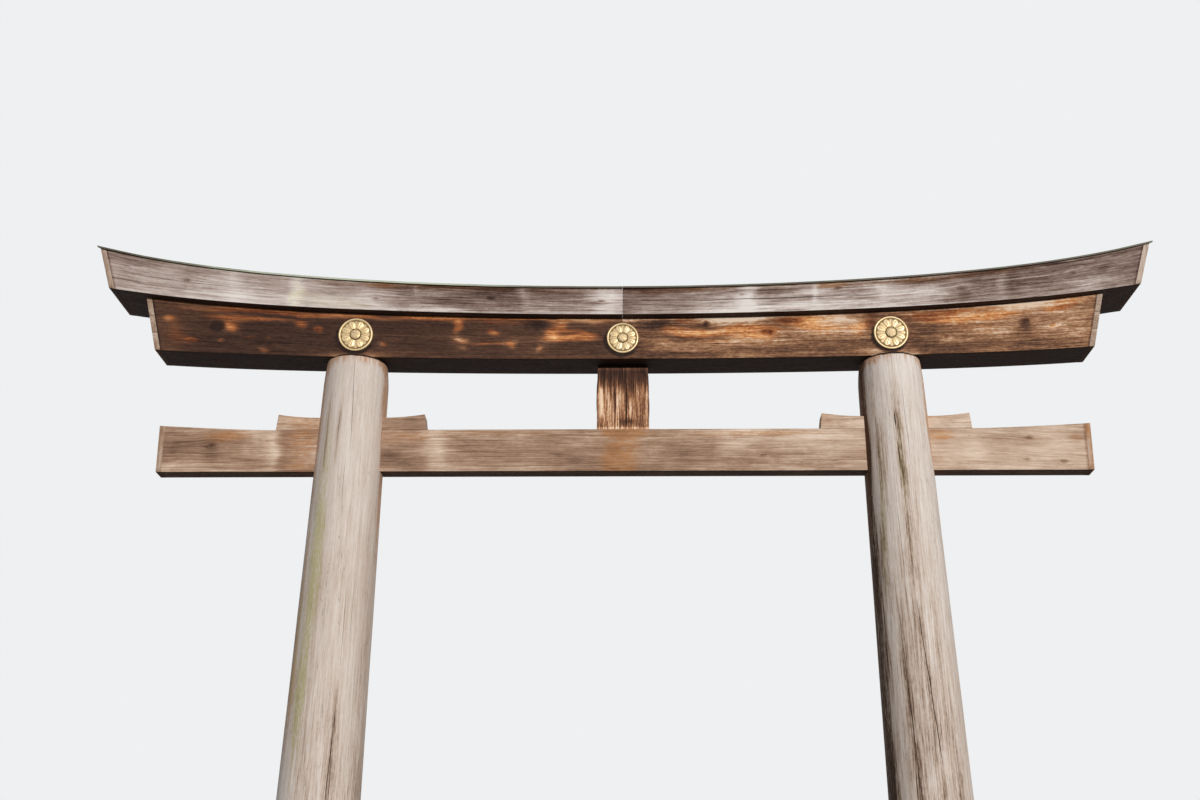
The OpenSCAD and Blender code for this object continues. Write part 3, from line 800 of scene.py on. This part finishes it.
# ---------------- Lower lintel
# Two heavy cypress timbers that meet at mid span behind the boss and ride on the pillar heads.
# The eaves above shelter them, so they have stayed brown, glowing amber round their knots.
soffit_z, ledge_z, roof_edge_z = 10.748, 11.430, 11.870
lower_half_l, upper_half_l, face_half, batter = 7.484, 8.252, 0.358, 0.05
lower_rise, upper_rise, upper_growth, even_share = 0.180, 0.480, 0.208, 0.76
lower_slant, lower_board = math.tan(math.radians(12.8)), 0.086
brown_tones = tones(
    (0, 226, 202, 180), (0.22, 186, 146, 114), (0.42, 143, 102, 73), (0.6, 106, 73, 53),
    (0.78, 75, 50, 38), (1, 42, 26, 20),
)
ember_tones = tones((0, 244, 196, 142), (0.3, 212, 146, 90), (0.6, 164, 98, 56), (1, 92, 48, 28))
# Wear from mid span out, patches and knots in the same hundredths as on the tie beam
lower_wear = hundredths({
    "left": [(0, 24), (100, 25), (200, 29), (400, 35), (580, 42), (700, 33), (740, 28)],
    "right": [(0, 16), (90, 10), (160, -9), (420, -4), (500, 10), (600, -6), (740, -7)],
})
lower_patches = hundredths({
    "left": [
        (652, 56, 10, 8, 0, 35), (628, 54, 12, 10, 150, -34), (636, 60, 5, 5, 50, -25),
        (590, 76, 75, 4, 100, -20), (630, 70, 35, 5, 80, -12), (530, 93, 130, 5, 90, -14),
        (450, 92, 90, 5, 80, -16), (688, 24, 11, 5, 90, -30), (644, 26, 6, 4, 100, -24),
        (730, 62, 10, 5, 90, -24), (576, 10, 9, 4, 60, -22), (515, 68, 10, 10, 100, -18),
        (485, 57, 7, 7, 110, -24), (597, 35, 12, 4, 50, -12), (570, 38, 5, 4, 50, -16),
        (715, 40, 25, 35, 50, -2), (660, 88, 60, 6, 70, -12), (380, 30, 8, 5, 40, -45),
        (366, 42, 12, 3, 30, -14), (305, 94, 42, 7, 140, -24), (266, 78, 7, 22, 110, -22),
        (256, 44, 11, 6, 100, -50), (254, 25, 8, 5, 40, -32), (205, 62, 10, 8, 110, -20),
        (218, 36, 35, 3, 90, -10), (184, 38, 10, 7, 130, -42), (178, 26, 6, 6, 80, -20),
        (136, 26, 7, 8, 80, -44), (134, 84, 26, 13, 0, 30), (85, 50, 42, 6, 170, -42),
        (112, 56, 9, 12, 130, -36), (100, 80, 12, 14, 120, -16), (55, 92, 45, 6, 50, -46),
        (50, 58, 14, 5, 90, -25), (85, 66, 30, 5, 70, -10), (35, 25, 30, 12, 0, 8),
        (360, 10, 280, 9, 0, -7), (140, 96.5, 150, 2, 90, -35), (190, 88, 50, 6, 60, -6),
        (428, 2, 50, 7, 20, -50), (395, 10, 40, 6, 20, -16),
    ],
    "right": [
        (10, 95, 30, 5, 30, -50), (55, 86, 30, 11, 0, 42), (98, 90, 16, 6, 80, 20),
        (80, 68, 22, 10, 100, 0), (125, 60, 50, 7, 150, -16), (62, 38, 22, 10, 30, -22),
        (150, 92, 50, 9, 10, -36), (200, 93, 45, 9, 10, -46), (133, 84, 6, 7, 0, 55),
        (118, 80, 14, 6, 30, 26), (190, 72, 30, 8, 130, -18), (228, 64, 28, 9, 140, 34),
        (210, 52, 25, 6, 130, -20), (266, 86, 20, 9, 90, 38), (295, 80, 20, 12, 130, -10),
        (340, 86, 36, 13, 50, -42), (330, 62, 35, 12, 90, -20), (398, 80, 10, 22, 60, 48),
        (378, 62, 14, 14, 100, -16), (190, 40, 90, 8, 50, -6), (100, 30, 50, 10, 0, -16),
        (230, 16, 200, 12, 0, 16), (350, 36, 50, 10, 10, 10), (436, 2, 50, 8, 0, -52),
        (390, 12, 40, 8, 0, -14), (510, 90, 55, 7, 120, 10), (485, 80, 22, 10, 50, 28),
        (530, 72, 50, 10, 120, -14), (635, 92, 60, 8, 40, -50), (600, 76, 50, 8, 80, -20),
        (715, 92, 30, 12, 100, 26), (690, 80, 20, 10, 90, 10), (642, 56, 9, 14, 0, 34),
        (640, 36, 20, 14, 0, 16), (684, 47, 10, 6, 60, -30), (698, 40, 5, 5, 30, -30),
        (580, 48, 50, 12, 50, -14), (600, 14, 130, 12, 0, 12), (515, 36, 14, 6, 20, -35),
        (475, 42, 20, 30, 20, 14), (720, 45, 22, 30, 30, -8), (540, 28, 30, 5, 0, -20),
    ],
})
lower_knots = hundredths({
    "left": [
        (652, 42, 5), (256, 31, 3.5), (184, 27, 4.5), (136, 20, 3.5), (485, 45, 4), (688, 19, 3),
        (75, 34, 3), (380, 22, 3),
    ],
    "right": [
        (134, 60, 5), (230, 42, 5.5), (642, 48, 4), (684, 40, 4), (515, 28, 3.5), (395, 55, 4.5),
    ],
})
lower_splits = {
    "left": [(0, 0.3, 1.2, 3.6, 0.003, 0.012), (0, 0.7, 4.8, 6.6, 0.003, 0.012)],
    "right": [(0, 0.47, 0.7, 7.25, 0.006, 0.028), (0, 0.22, 2, 4, 0.003, 0.012)],
}


def sweep(t):
    return even_share * t ** 2 + (1 - even_share) * t ** 6


def lower_curve(x):
    return soffit_z + lower_rise * sweep(x / lower_half_l)


def ledge_curve(x):
    return ledge_z + upper_rise * sweep(x / upper_half_l)


def face_y(z, out=0.0):
    return face_half + out + batter * (z - soffit_z)


def lower_section(x):
    low, high = lower_curve(x), ledge_curve(x)
    return [(-face_y(low), low), (-face_y(high), high), (face_y(high), high), (face_y(low), low)]


def lower_end(here):
    return lower_half_l + lower_slant * (here.y - lower_curve(lower_half_l)) - lower_board


side_boss_x = foot_x - math.tan(lean) * soffit_z
side_boss_z = (lower_curve(side_boss_x) + ledge_curve(side_boss_x)) / 2
mid_boss_z = (soffit_z + ledge_z) / 2
side_boss_r, mid_boss_r = 0.276, 0.254
lower_timber = timber_material(
    "brown_sheltered_lintel", brown_tones, ember_tones, 0.6, 0.9, 0.8, 0.7, 0.25
)
corner_low, corner_high = lower_curve(lower_half_l), ledge_curve(lower_half_l)
board_rows = ("bottom", "middle", "top")
for side, way in ways.items():
    def lower_paint(x, face, y, z, side=side, way=way):
        height, full = z - lower_curve(x), ledge_curve(x) - lower_curve(x)
        aside, heart = round_knots(lower_knots[side], x, height)
        if face == 0:
            glow, tone = uneven_patches(lower_patches[side], x, height / full)
            # The top edge of the face is painted lighter as a painted highlight.
            tone += read_along(lower_wear[side], x) - 0.24 * clamp((height / full - 0.95) / 0.02)
            # A dark crescent below and left of each boss: a painted shadow.
            for boss_x, boss_z, boss_r in (
                (way * side_boss_x, side_boss_z, side_boss_r), (0.0, mid_boss_z, mid_boss_r)
            ):
                out_x, out_z = way * x - boss_x + 0.012, z - boss_z + 0.02
                ring = max(0.0, 1 - abs(math.hypot(out_x, out_z) - boss_r) / 0.036)
                tone += 1.1 * ring * clamp(0.25 - (out_z + 0.5 * out_x) / boss_r)
        else:
            # The top and underside are painted dark: partly sheltered wood, partly painted shade.
            glow, tone, heart = 0.5 * ripple(x, y, z + 9), 0.1 if face == 2 else 0.52, 0.0
        return {
            "grain": Vector((way * x, y, height + aside + 20)), "tone": tone + 0.3 * heart,
            "glow": max(0.0, glow) + 0.3 * heart,
            "lively": (0.45 if way < 0 else 1.0) + 0.9 * clamp(glow) if face == 0 else 0.7,
        }

    squared_timber(
        f"lower_lintel_timber_{side}", steps(0, lower_half_l - lower_board, 0.040), lower_section,
        (28, 8, 20, 10),
        lower_splits[side] + drying_splits(30 + way, 12, 0.3, 7.0, [0, 2, 2, 3], 1.6),
        lower_paint, lambda x, y, z, way=way: Vector((way * x, y, z)), 6.3 * way,
        (lower_timber, "lower_lintel_timber", f"lower_lintel_{side}"), lower_end,
    )
    for row, level in enumerate(board_rows):
        def board_corners(back, way=way, row=row):
            found = []
            for y_sign, end in ((-1, 0), (-1, 1), (1, 1), (1, 0)):
                z = corner_low + (corner_high - corner_low) * (row + end) / len(board_rows)
                for _ in range(3):
                    x = lower_half_l + lower_slant * (z - corner_low) - back
                    if row + end == 0:
                        z = lower_curve(x)
                    if row + end == len(board_rows):
                        z = ledge_curve(x)
                found.append((way * x, y_sign * face_y(z), z))
            return found

        nailed_board(
            f"lower_end_cover_{side}_{level}", board_corners(lower_board), board_corners(0.0),
            lambda co, row=row: Vector((co.y, co.z + 4 * row, co.x)),
            # Downward faces are painted darker: partly sheltered wood, partly painted shade.
            lambda co, normal: (0.04 + 0.9 * max(0.0, -normal.z), 0.25),
            board_timber, "end_board_timber", f"lower_end_board_{side}_{level}", 0.004,
        )


# ---------------- Upper lintel
# Two deep cypress timbers that sweep up to the ends and meet in a plain joint at mid span. Open
# to sun and rain, they have gone silver grey, with brown left under the edge of the copper.
ledge_out, upper_slant, upper_board, joint_gap = 0.170, math.tan(math.radians(15.8)), 0.086, 0.0015
pitch = math.tan(math.radians(17))
roof_half = face_y(roof_edge_z, ledge_out)
grey_tones = tones(
    (0, 226, 219, 214), (0.2, 206, 195, 189), (0.42, 168, 151, 143), (0.62, 130, 110, 101),
    (0.82, 94, 73, 64), (1, 56, 39, 33),
)
umber_tones = tones((0, 208, 182, 148), (0.4, 150, 112, 84), (0.7, 112, 78, 56), (1, 62, 40, 30))
lichen_tones = tones((0, 222, 214, 184), (0.5, 182, 170, 138), (1, 116, 100, 78))
upper_wear = hundredths({
    "left": [
        (0, -10), (90, 6), (170, 11), (250, 15), (320, 13), (400, -23), (530, -24), (660, -16),
        (830, -8),
    ],
    "right": [
        (0, 17), (90, 10), (170, -16), (300, -12), (420, -12), (490, -8), (550, 10), (820, 11),
    ],
})
# How brown the strip under the copper is, and patches, all in hundredths
upper_stain = hundredths({
    "left": [(0, 10), (50, 60), (150, 80), (350, 90), (460, 40), (550, 20), (650, 50), (820, 30)],
    "right": [
        (0, 90), (120, 90), (240, 50), (340, 100), (440, 80), (560, 90), (680, 30), (820, 20),
    ],
})
upper_patches = hundredths({
    "left": [
        (24, 60, 28, 80, 0, -38), (35, 42, 20, 8, 0, 34), (45, 16, 22, 10, 0, -12),
        (160, 75, 7, 45, 0, -22), (120, 80, 40, 12, 20, 10), (215, 70, 35, 22, 10, 18),
        (260, 36, 40, 12, 0, 16), (290, 8, 130, 10, 0, -28), (332, 80, 5, 25, 0, -16),
        (280, 90, 80, 10, 50, 10), (395, 80, 75, 14, 30, 20), (455, 66, 30, 10, 20, 14),
        (522, 50, 12, 90, 0, -26), (622, 55, 16, 90, 0, -14), (605, 30, 30, 20, 0, -10),
        (750, 82, 80, 12, 0, 12), (770, 30, 90, 8, 0, 6), (150, 12, 80, 10, 0, -10),
        (570, 85, 40, 14, 0, 8),
    ],
    "right": [
        (45, 80, 35, 14, 60, 12), (100, 10, 70, 10, 0, -14), (155, 30, 35, 25, 0, -12),
        (199, 55, 11, 90, 0, -32), (170, 68, 40, 10, 0, 12), (250, 72, 35, 12, 0, 22),
        (280, 46, 60, 5, 0, 26), (240, 20, 60, 14, 0, -8), (308, 60, 5, 40, 0, -30),
        (332, 86, 22, 10, 120, -10), (370, 62, 35, 8, 0, 26), (330, 20, 60, 16, 0, -8),
        (395, 40, 30, 30, 0, 3), (418, 60, 10, 60, 0, -12), (490, 40, 50, 16, 0, -16),
        (490, 86, 70, 10, 80, 20), (543, 30, 14, 12, 0, 16), (603, 55, 7, 50, 0, -22),
        (630, 75, 50, 14, 20, 6), (730, 20, 70, 12, 0, -8), (800, 70, 20, 20, 0, -8),
    ],
})
# Pale lichen washed down the left arm
upper_lichen = hundredths([
    (480, 28, 60, 28, 40, 0), (420, 18, 40, 16, 30, 0), (522, 45, 12, 80, 35, 0),
])
upper_knots = hundredths({
    "left": [(395, 20, 3.5), (210, 25, 3), (700, 30, 3), (33, 22, 3)],
    "right": [(540, 24, 4), (342, 36, 3), (190, 30, 2.5), (720, 34, 2.5)],
})
upper_splits = {
    "left": [
        (0, 0.48, 6.1, 7.9, 0.004, 0.014), (0, 0.3, 2, 5, 0.004, 0.014),
        (0, 0.62, 0.9, 3.4, 0.003, 0.012),
    ],
    "right": [
        (0, 0.5, 0.9, 4.1, 0.013, 0.026), (0, 0.4, 4.4, 7.6, 0.003, 0.012),
        (0, 0.25, 1, 3.8, 0.003, 0.012),
    ],
}


def roof_curve(x):
    return roof_edge_z + (upper_rise + upper_growth) * sweep(x / upper_half_l)


def upper_section(x, out=0.0, lift=0.0):
    low = ledge_curve(x)
    base = roof_curve(x) + lift
    plane = face_half + ledge_out + out - batter * soffit_z
    high = (base + (roof_half - plane) * pitch) / (1 + batter * pitch)
    low_y, high_y = face_y(low, ledge_out + out), plane + batter * high
    ridge = (0.0, base + roof_half * pitch)
    return [(-low_y, low), (-high_y, high), ridge, (high_y, high), (low_y, low)]


def upper_end(here, back=upper_board):
    return upper_half_l + upper_slant * (here.y - ledge_curve(upper_half_l)) - back


upper_timber = timber_material(
    "silvered_upper_lintel", grey_tones, umber_tones, 0.8, 0.9, 1.0, 0.35, 0.32, lichen_tones
)
for side, way in ways.items():
    def upper_paint(x, face, y, z, side=side, way=way):
        low, top = ledge_curve(x), upper_section(x)[1][1]
        height, up = z - low, (z - low) / (top - low)
        aside, heart = round_knots(upper_knots[side], x, height)
        stain = read_along(upper_stain[side], x) * (0.9 + 0.8 * ripple(x * 2.2, way * 3.0, 1.0))
        lichen = 0.0
        if face == 0:
            glow, tone = uneven_patches(upper_patches[side], x, up)
            # The bottom edge of the face is painted lighter as a painted highlight.
            foot = max(0.0, 1 - up / 0.07)
            tone += read_along(upper_wear[side], x) + 0.12 * (up - 0.45) - 0.16 * foot
            lichen = uneven_patches(upper_lichen, x, up)[0] if way < 0 else 0.0
        else:
            # The underside is painted dark: partly sheltered wood, partly painted shade.
            glow, tone, heart = 0.0, -0.05 if face == 3 else 0.52 if face == 4 else 0.0, 0.0
        drip = max(0.0, 1 - (top - z) / 0.12) if face in (0, 3) else 0.0
        return {
            "grain": Vector((way * x, y, height * (0.44 / (top - low)) + aside + 40)),
            "green": lichen, "tone": tone + 0.35 * heart + 0.12 * drip * stain,
            "glow": glow + drip * stain + 0.2 * heart,
            "lively": 0.7 if face == 0 and way < 0 and x > 3.6 else 1.0,
        }

    squared_timber(
        f"upper_lintel_timber_{side}", steps(joint_gap, upper_half_l - upper_board, 0.040),
        upper_section, (26, 7, 7, 20, 14),
        upper_splits[side] + drying_splits(50 + way, 16, 0.2, 7.9, [0, 0, 3, 3, 4], 2.4),
        upper_paint, lambda x, y, z, way=way: Vector((way * x, y, z)), 8.1 * way,
        (upper_timber, "upper_lintel_timber", f"upper_lintel_{side}"), upper_end,
    )

    def cover_corners(back, way=way):
        found = []
        for k in range(5):
            x = upper_half_l
            for _ in range(4):
                y, z = upper_section(x)[k]
                x = upper_end(Vector((y, z)), back)
            found.append((way * x, y, z))
        return found

    nailed_board(
        f"upper_end_cover_{side}", cover_corners(upper_board), cover_corners(0.0),
        lambda co: Vector((co.z, co.y + 13, co.x)),
        # Downward faces are painted darker: partly sheltered wood, partly painted shade.
        lambda co, normal, way=way: ((0.06 if way < 0 else -0.14) + 0.9 * max(0.0, -normal.z), 0.1),
        board_timber, "end_board_timber", f"upper_end_board_{side}", 0.005,
    )


# ---------------- Copper roof
# Thin copper sheet over boards, folded down over the front, back and ends of the upper lintel.
# The sheets join in standing seams from eave to ridge, under a round ridge roll.
sheet_thick, eave_out, seam_high, seam_pitch, seam_half = 0.0278, 0.038, 0.0126, 0.455, 0.011
ridge_roll, sheet_waves = 0.014, 0.0015

copper = bpy.data.materials.new("dull_green_copper")
shade = emptied(copper)
at = shade.position()
cloud, spots = at.stretched(1, 1.6, 1.6).noise(2.2, 5, 0.62, 0.4), at.noise(38, 3, 0.6)
tone = cloud * 0.62 + at.stretched(14, 1.2, 1.2).noise(1, 4, 0.6) * 0.16 + spots * 0.22
patina = tones((0, 84, 78, 62), (0.35, 108, 110, 90), (0.6, 126, 136, 114), (1, 156, 168, 146))
colour = tone.ramp(0.36, 0.64).toned(patina)
colour = (shade.painted("fold") * (1.15 - cloud * 0.6)).over(colour, seen(70, 58, 46))
colour = (shade.painted("washed") * (0.5 + cloud * 0.6)).over(colour, seen(188, 194, 172))
finish_material(
    shade, colour, tone.ramp(0.3, 0.7, 0.45, 0.72), spots * 0.5 + cloud, 0.0012, Metallic=0.25
)

reach = upper_half_l + eave_out
# How far the seams are up at each place along the sheet, as a share
marks = {
    joint_gap: 1.0, seam_half: 1.0, seam_half * 2: 0.0,
    reach - 0.022: 0.0, reach - 0.012: 0.8, reach: 0.8,
}
for n in range(1, int((reach - 0.12) / seam_pitch) + 1):
    for shift, lift in ((-2, 0.0), (-1, 1.0), (1, 1.0), (2, 0.0)):
        marks[n * seam_pitch + shift * seam_half] = lift
    for share in (0.75, 0.5, 0.25):
        marks[(n - share) * seam_pitch] = 0.0
sheet_stations = sorted(marks)
# Places round the sheet: share of the way to the eave, and height over the boards
sheet_ring = [(-1.0, 0.0), (-1.0, 0.35), (-1.0, 0.75), (-0.992, 1.0)]
sheet_ring += [(-0.992 + k * 0.092, 1.0) for k in range(1, 11)]
sheet_ring += [(-0.040, 1.0), (-0.030, 1.32), (0.0, 1.42)]
sheet_ring += [(-across, high) for across, high in reversed(sheet_ring[:-1])]
sheet_ring += [(0.6, 0.0), (0.0, 0.0), (-0.6, 0.0)]
for side, way in ways.items():
    def place(i, j, way=way):
        across, high = sheet_ring[j]
        x = sheet_stations[i]
        for _ in range(3):
            y = across * upper_section(x, eave_out, sheet_thick * high)[3][0]
            z = roof_curve(x) + (roof_half - abs(y)) * pitch + sheet_thick * min(high, 1.0)
            if high >= 1.0:
                seam = marks[sheet_stations[i]] * seam_high * min(1.0, (1.0 - abs(across)) / 0.25)
                z += max(seam, (high - 1.0) / 0.42 * ridge_roll)
            x = sheet_stations[i] / reach * upper_end(Vector((y, z)), -eave_out)
        if 0 < high <= 1.0:
            z -= sheet_waves * abs(ripple(x * 3, y * 4, way))
        fold = 1.0 if abs(across) > 0.99 and high < 1 else 0.0
        washed = fold * math.exp(-(((way * x + 4.3) / 2.4) ** 4))
        paint = {"fold": fold - 0.9 * washed, "washed": washed}
        return Vector((way * x, y, z)), Vector((x, y, z)), paint

    add_piece(
        f"copper_sheet_{side}", closed_bar(len(sheet_stations), len(sheet_ring), place), copper,
        "verdigris_copper", f"copper_roof_{side}", 25,
    )


# ---------------- Bosses
# Six gilt metal bosses, pressed with eight plain petals round a seeded hub inside a round bead.
# They are pinned to both faces of the lower lintel: one at mid span and one over each pillar.
petal_count, plate_t, boss_rings, boss_turns = 8, 0.020, 62, 256
bead_rise, hub_rise, hub_dome, seed_rise, seed_r = 0.015, 0.020, 0.018, 0.004, 0.19

gilt = bpy.data.materials.new("dull_gilt")
shade = emptied(gilt)
at = shade.position()
cloud, rub = at.noise(9, 4, 0.6), at.noise(60, 3, 0.6)
dirt = (shade.painted("hollow") + (cloud - 0.5) * 0.6).ramp(0.08, 0.62)
colour = (cloud.ramp(0.4, 0.7) * 0.5).over(seen(212, 186, 140), seen(232, 214, 178))
colour = (dirt * 0.92).over(colour, seen(112, 84, 40))
colour = (rub.ramp(0.62, 0.74) * 0.3).over(colour, seen(150, 122, 84))
finish_material(
    shade, colour, dirt * 0.25 + rub.ramp(0.3, 0.7, 0.36, 0.52), rub, 0.0006, Metallic=0.45
)


def petal_height(r, a, bead, hub):
    """Height over the plate at a share r of the radius, and how deep in a hollow that place is."""
    rim = 1 - 2 * bead
    if r > rim - 0.01:
        rise = math.sqrt(max(0.0, 1 - ((r - 1 + bead) / bead) ** 2))
        return bead_rise * rise, 0.5 - 0.5 * rise
    if r < hub:
        dome = hub_rise + hub_dome * math.sqrt(max(0.0, 1 - (r / hub) ** 2))
        for out, turn in [(0.0, 0.0)] + [(0.60 * hub, k * math.tau / 6) for k in range(6)]:
            gap = abs(cmath.rect(r, a) - cmath.rect(out, turn))
            dome += seed_rise * math.sqrt(max(0.0, 1 - (gap / (seed_r * hub)) ** 2))
        return min(dome, hub_rise + hub_dome), 0.25 if r < 0.93 * hub else 0.7
    best, hollow = (0.004, 1.0) if r < hub + 0.045 else (0.002, 1.0)
    tip = rim - 0.035
    for shift, shoulder, crown, wide, furrow, darker in (
        (0.0, 0.24, 0.024, 0.93, 0.004, 0.0), (0.5, 0.16, 0.012, 0.55, 0.0, 0.3),
    ):
        across = ((a * petal_count / math.tau + shift) % 1.0 - 0.5) * 2
        start = tip - shoulder
        room = wide * math.sqrt(max(0.0, 1 - (max(0.0, r - start) / shoulder) ** 2))
        if r < hub + 0.045 or abs(across) >= room:
            continue
        fall = 1 - (across / room) ** 2
        bulge = math.sin(math.pi * min(1.0, (r - hub) / (tip - hub)))
        height = crown * fall ** 0.42 * (0.72 + 0.28 * bulge)
        dip = furrow * math.exp(-((across / 0.10) ** 2)) * min(1.0, (tip - r) / 0.12)
        if height - dip > best:
            best = height - dip
            hollow = 0.55 * (1 - fall ** 0.3) + (0.35 if dip > 0.002 else 0.0) + darker
    return best, hollow


for name, boss_x, boss_z, boss_r, bead_r, hub_r in (
    ("left", -side_boss_x, side_boss_z, side_boss_r, 0.018, 0.083),
    ("centre", 0.0, mid_boss_z, mid_boss_r, 0.017, 0.076),
    ("right", side_boss_x, side_boss_z, side_boss_r, 0.018, 0.083),
):
    for face, way in (("front", 1), ("back", -1)):
        face_line = [(boss_r * k / boss_rings, plate_t) for k in range(boss_rings + 1)]
        bm = turned(face_line + [(boss_r, 0), (0, 0)], boss_turns)
        hollow = bm.verts.layers.float.new("hollow")
        for v in bm.verts:
            if v.co.z > plate_t / 2:
                r, a = v.co.xy.length / boss_r, math.atan2(v.co.y, v.co.x)
                up, v[hollow] = petal_height(r, a, bead_r / boss_r, hub_r / boss_r)
                v.co.z = plate_t + up
        stand_up = (
            Matrix.Translation((boss_x, -way * face_y(boss_z), boss_z))
            @ Matrix.Diagonal((1, way, 1, 1))
            @ Matrix.Rotation(math.pi / 2 + math.atan(batter), 4, "X")
        )
        bmesh.ops.transform(bm, matrix=stand_up, verts=bm.verts)
        bmesh.ops.recalc_face_normals(bm, faces=bm.faces)
        add_piece(f"petalled_boss_{face}_{name}", bm, gilt, "gilt_metal", f"{face}_boss_{name}", 60)


# ---------------- Floor, light and backdrop
# A pale studio floor and a soft, low key from the front right, with fills for the other sides.
def backdrop_rays(shade):
    """1 where the eye, a mirror or glass looks straight at the backdrop."""
    kinds = ("Camera", "Glossy", "Transmission")
    looked = [shade.node("ShaderNodeLightPath", out=f"Is {kind} Ray") for kind in kinds]
    return looked[0].maths("MAXIMUM", looked[0], looked[1].maths("MAXIMUM", looked[1], looked[2]))


bm = bmesh.new()
bmesh.ops.create_circle(bm, cap_ends=True, segments=96, radius=150)
mesh = bpy.data.meshes.new("studio_floor")
bm.to_mesh(mesh)
bm.free()
floor = add_object("studio_floor", mesh)
concrete = bpy.data.materials.new("studio_floor")
shade = emptied(concrete)
pale = shade.position().noise(0.4, 2).ramp(0.3, 0.7).over((0.74, 0.74, 0.73), (0.77, 0.77, 0.76))
finish_material(shade, backdrop_rays(shade).over((0.055, 0.05, 0.045), pale), 0.9)
floor.data.materials.append(concrete)

world = bpy.data.worlds.new("studio")
bpy.context.scene.world = world
sky = emptied(world)
plain = sky.node("ShaderNodeBackground", {}, {"Color": (0.93, 0.96, 1.0), "Strength": 0.30})
shown = sky.node("ShaderNodeBackground", {}, {"Color": (0.86, 0.87, 0.88), "Strength": 1.0})
values = {"Fac": backdrop_rays(sky), "Shader": plain, "Shader_001": shown}
both = sky.node("ShaderNodeMixShader", {}, values)
sky.node("ShaderNodeOutputWorld", {}, {"Surface": both})

for name, azimuth, elevation, power, spread, colour in (
    ("key", 22, 8, 2.75, 3, (1.0, 0.975, 0.94)),
    ("left_fill", -70, 25, 0.18, 40, (0.95, 0.97, 1.0)),
    ("back_fill", 160, 40, 1.1, 25, (1.0, 0.98, 0.95)),
):
    lamp = bpy.data.lights.new(name, "SUN")
    lamp.energy = power
    lamp.angle = math.radians(spread)
    lamp.color = colour
    light = add_object(name, lamp)
    a, e = math.radians(azimuth), math.radians(elevation)
    from_there = Vector((math.sin(a) * math.cos(e), -math.cos(a) * math.cos(e), math.sin(e)))
    light.rotation_euler = from_there.to_track_quat("Z", "Y").to_euler()

bpy.context.scene.view_settings.view_transform = "Standard"
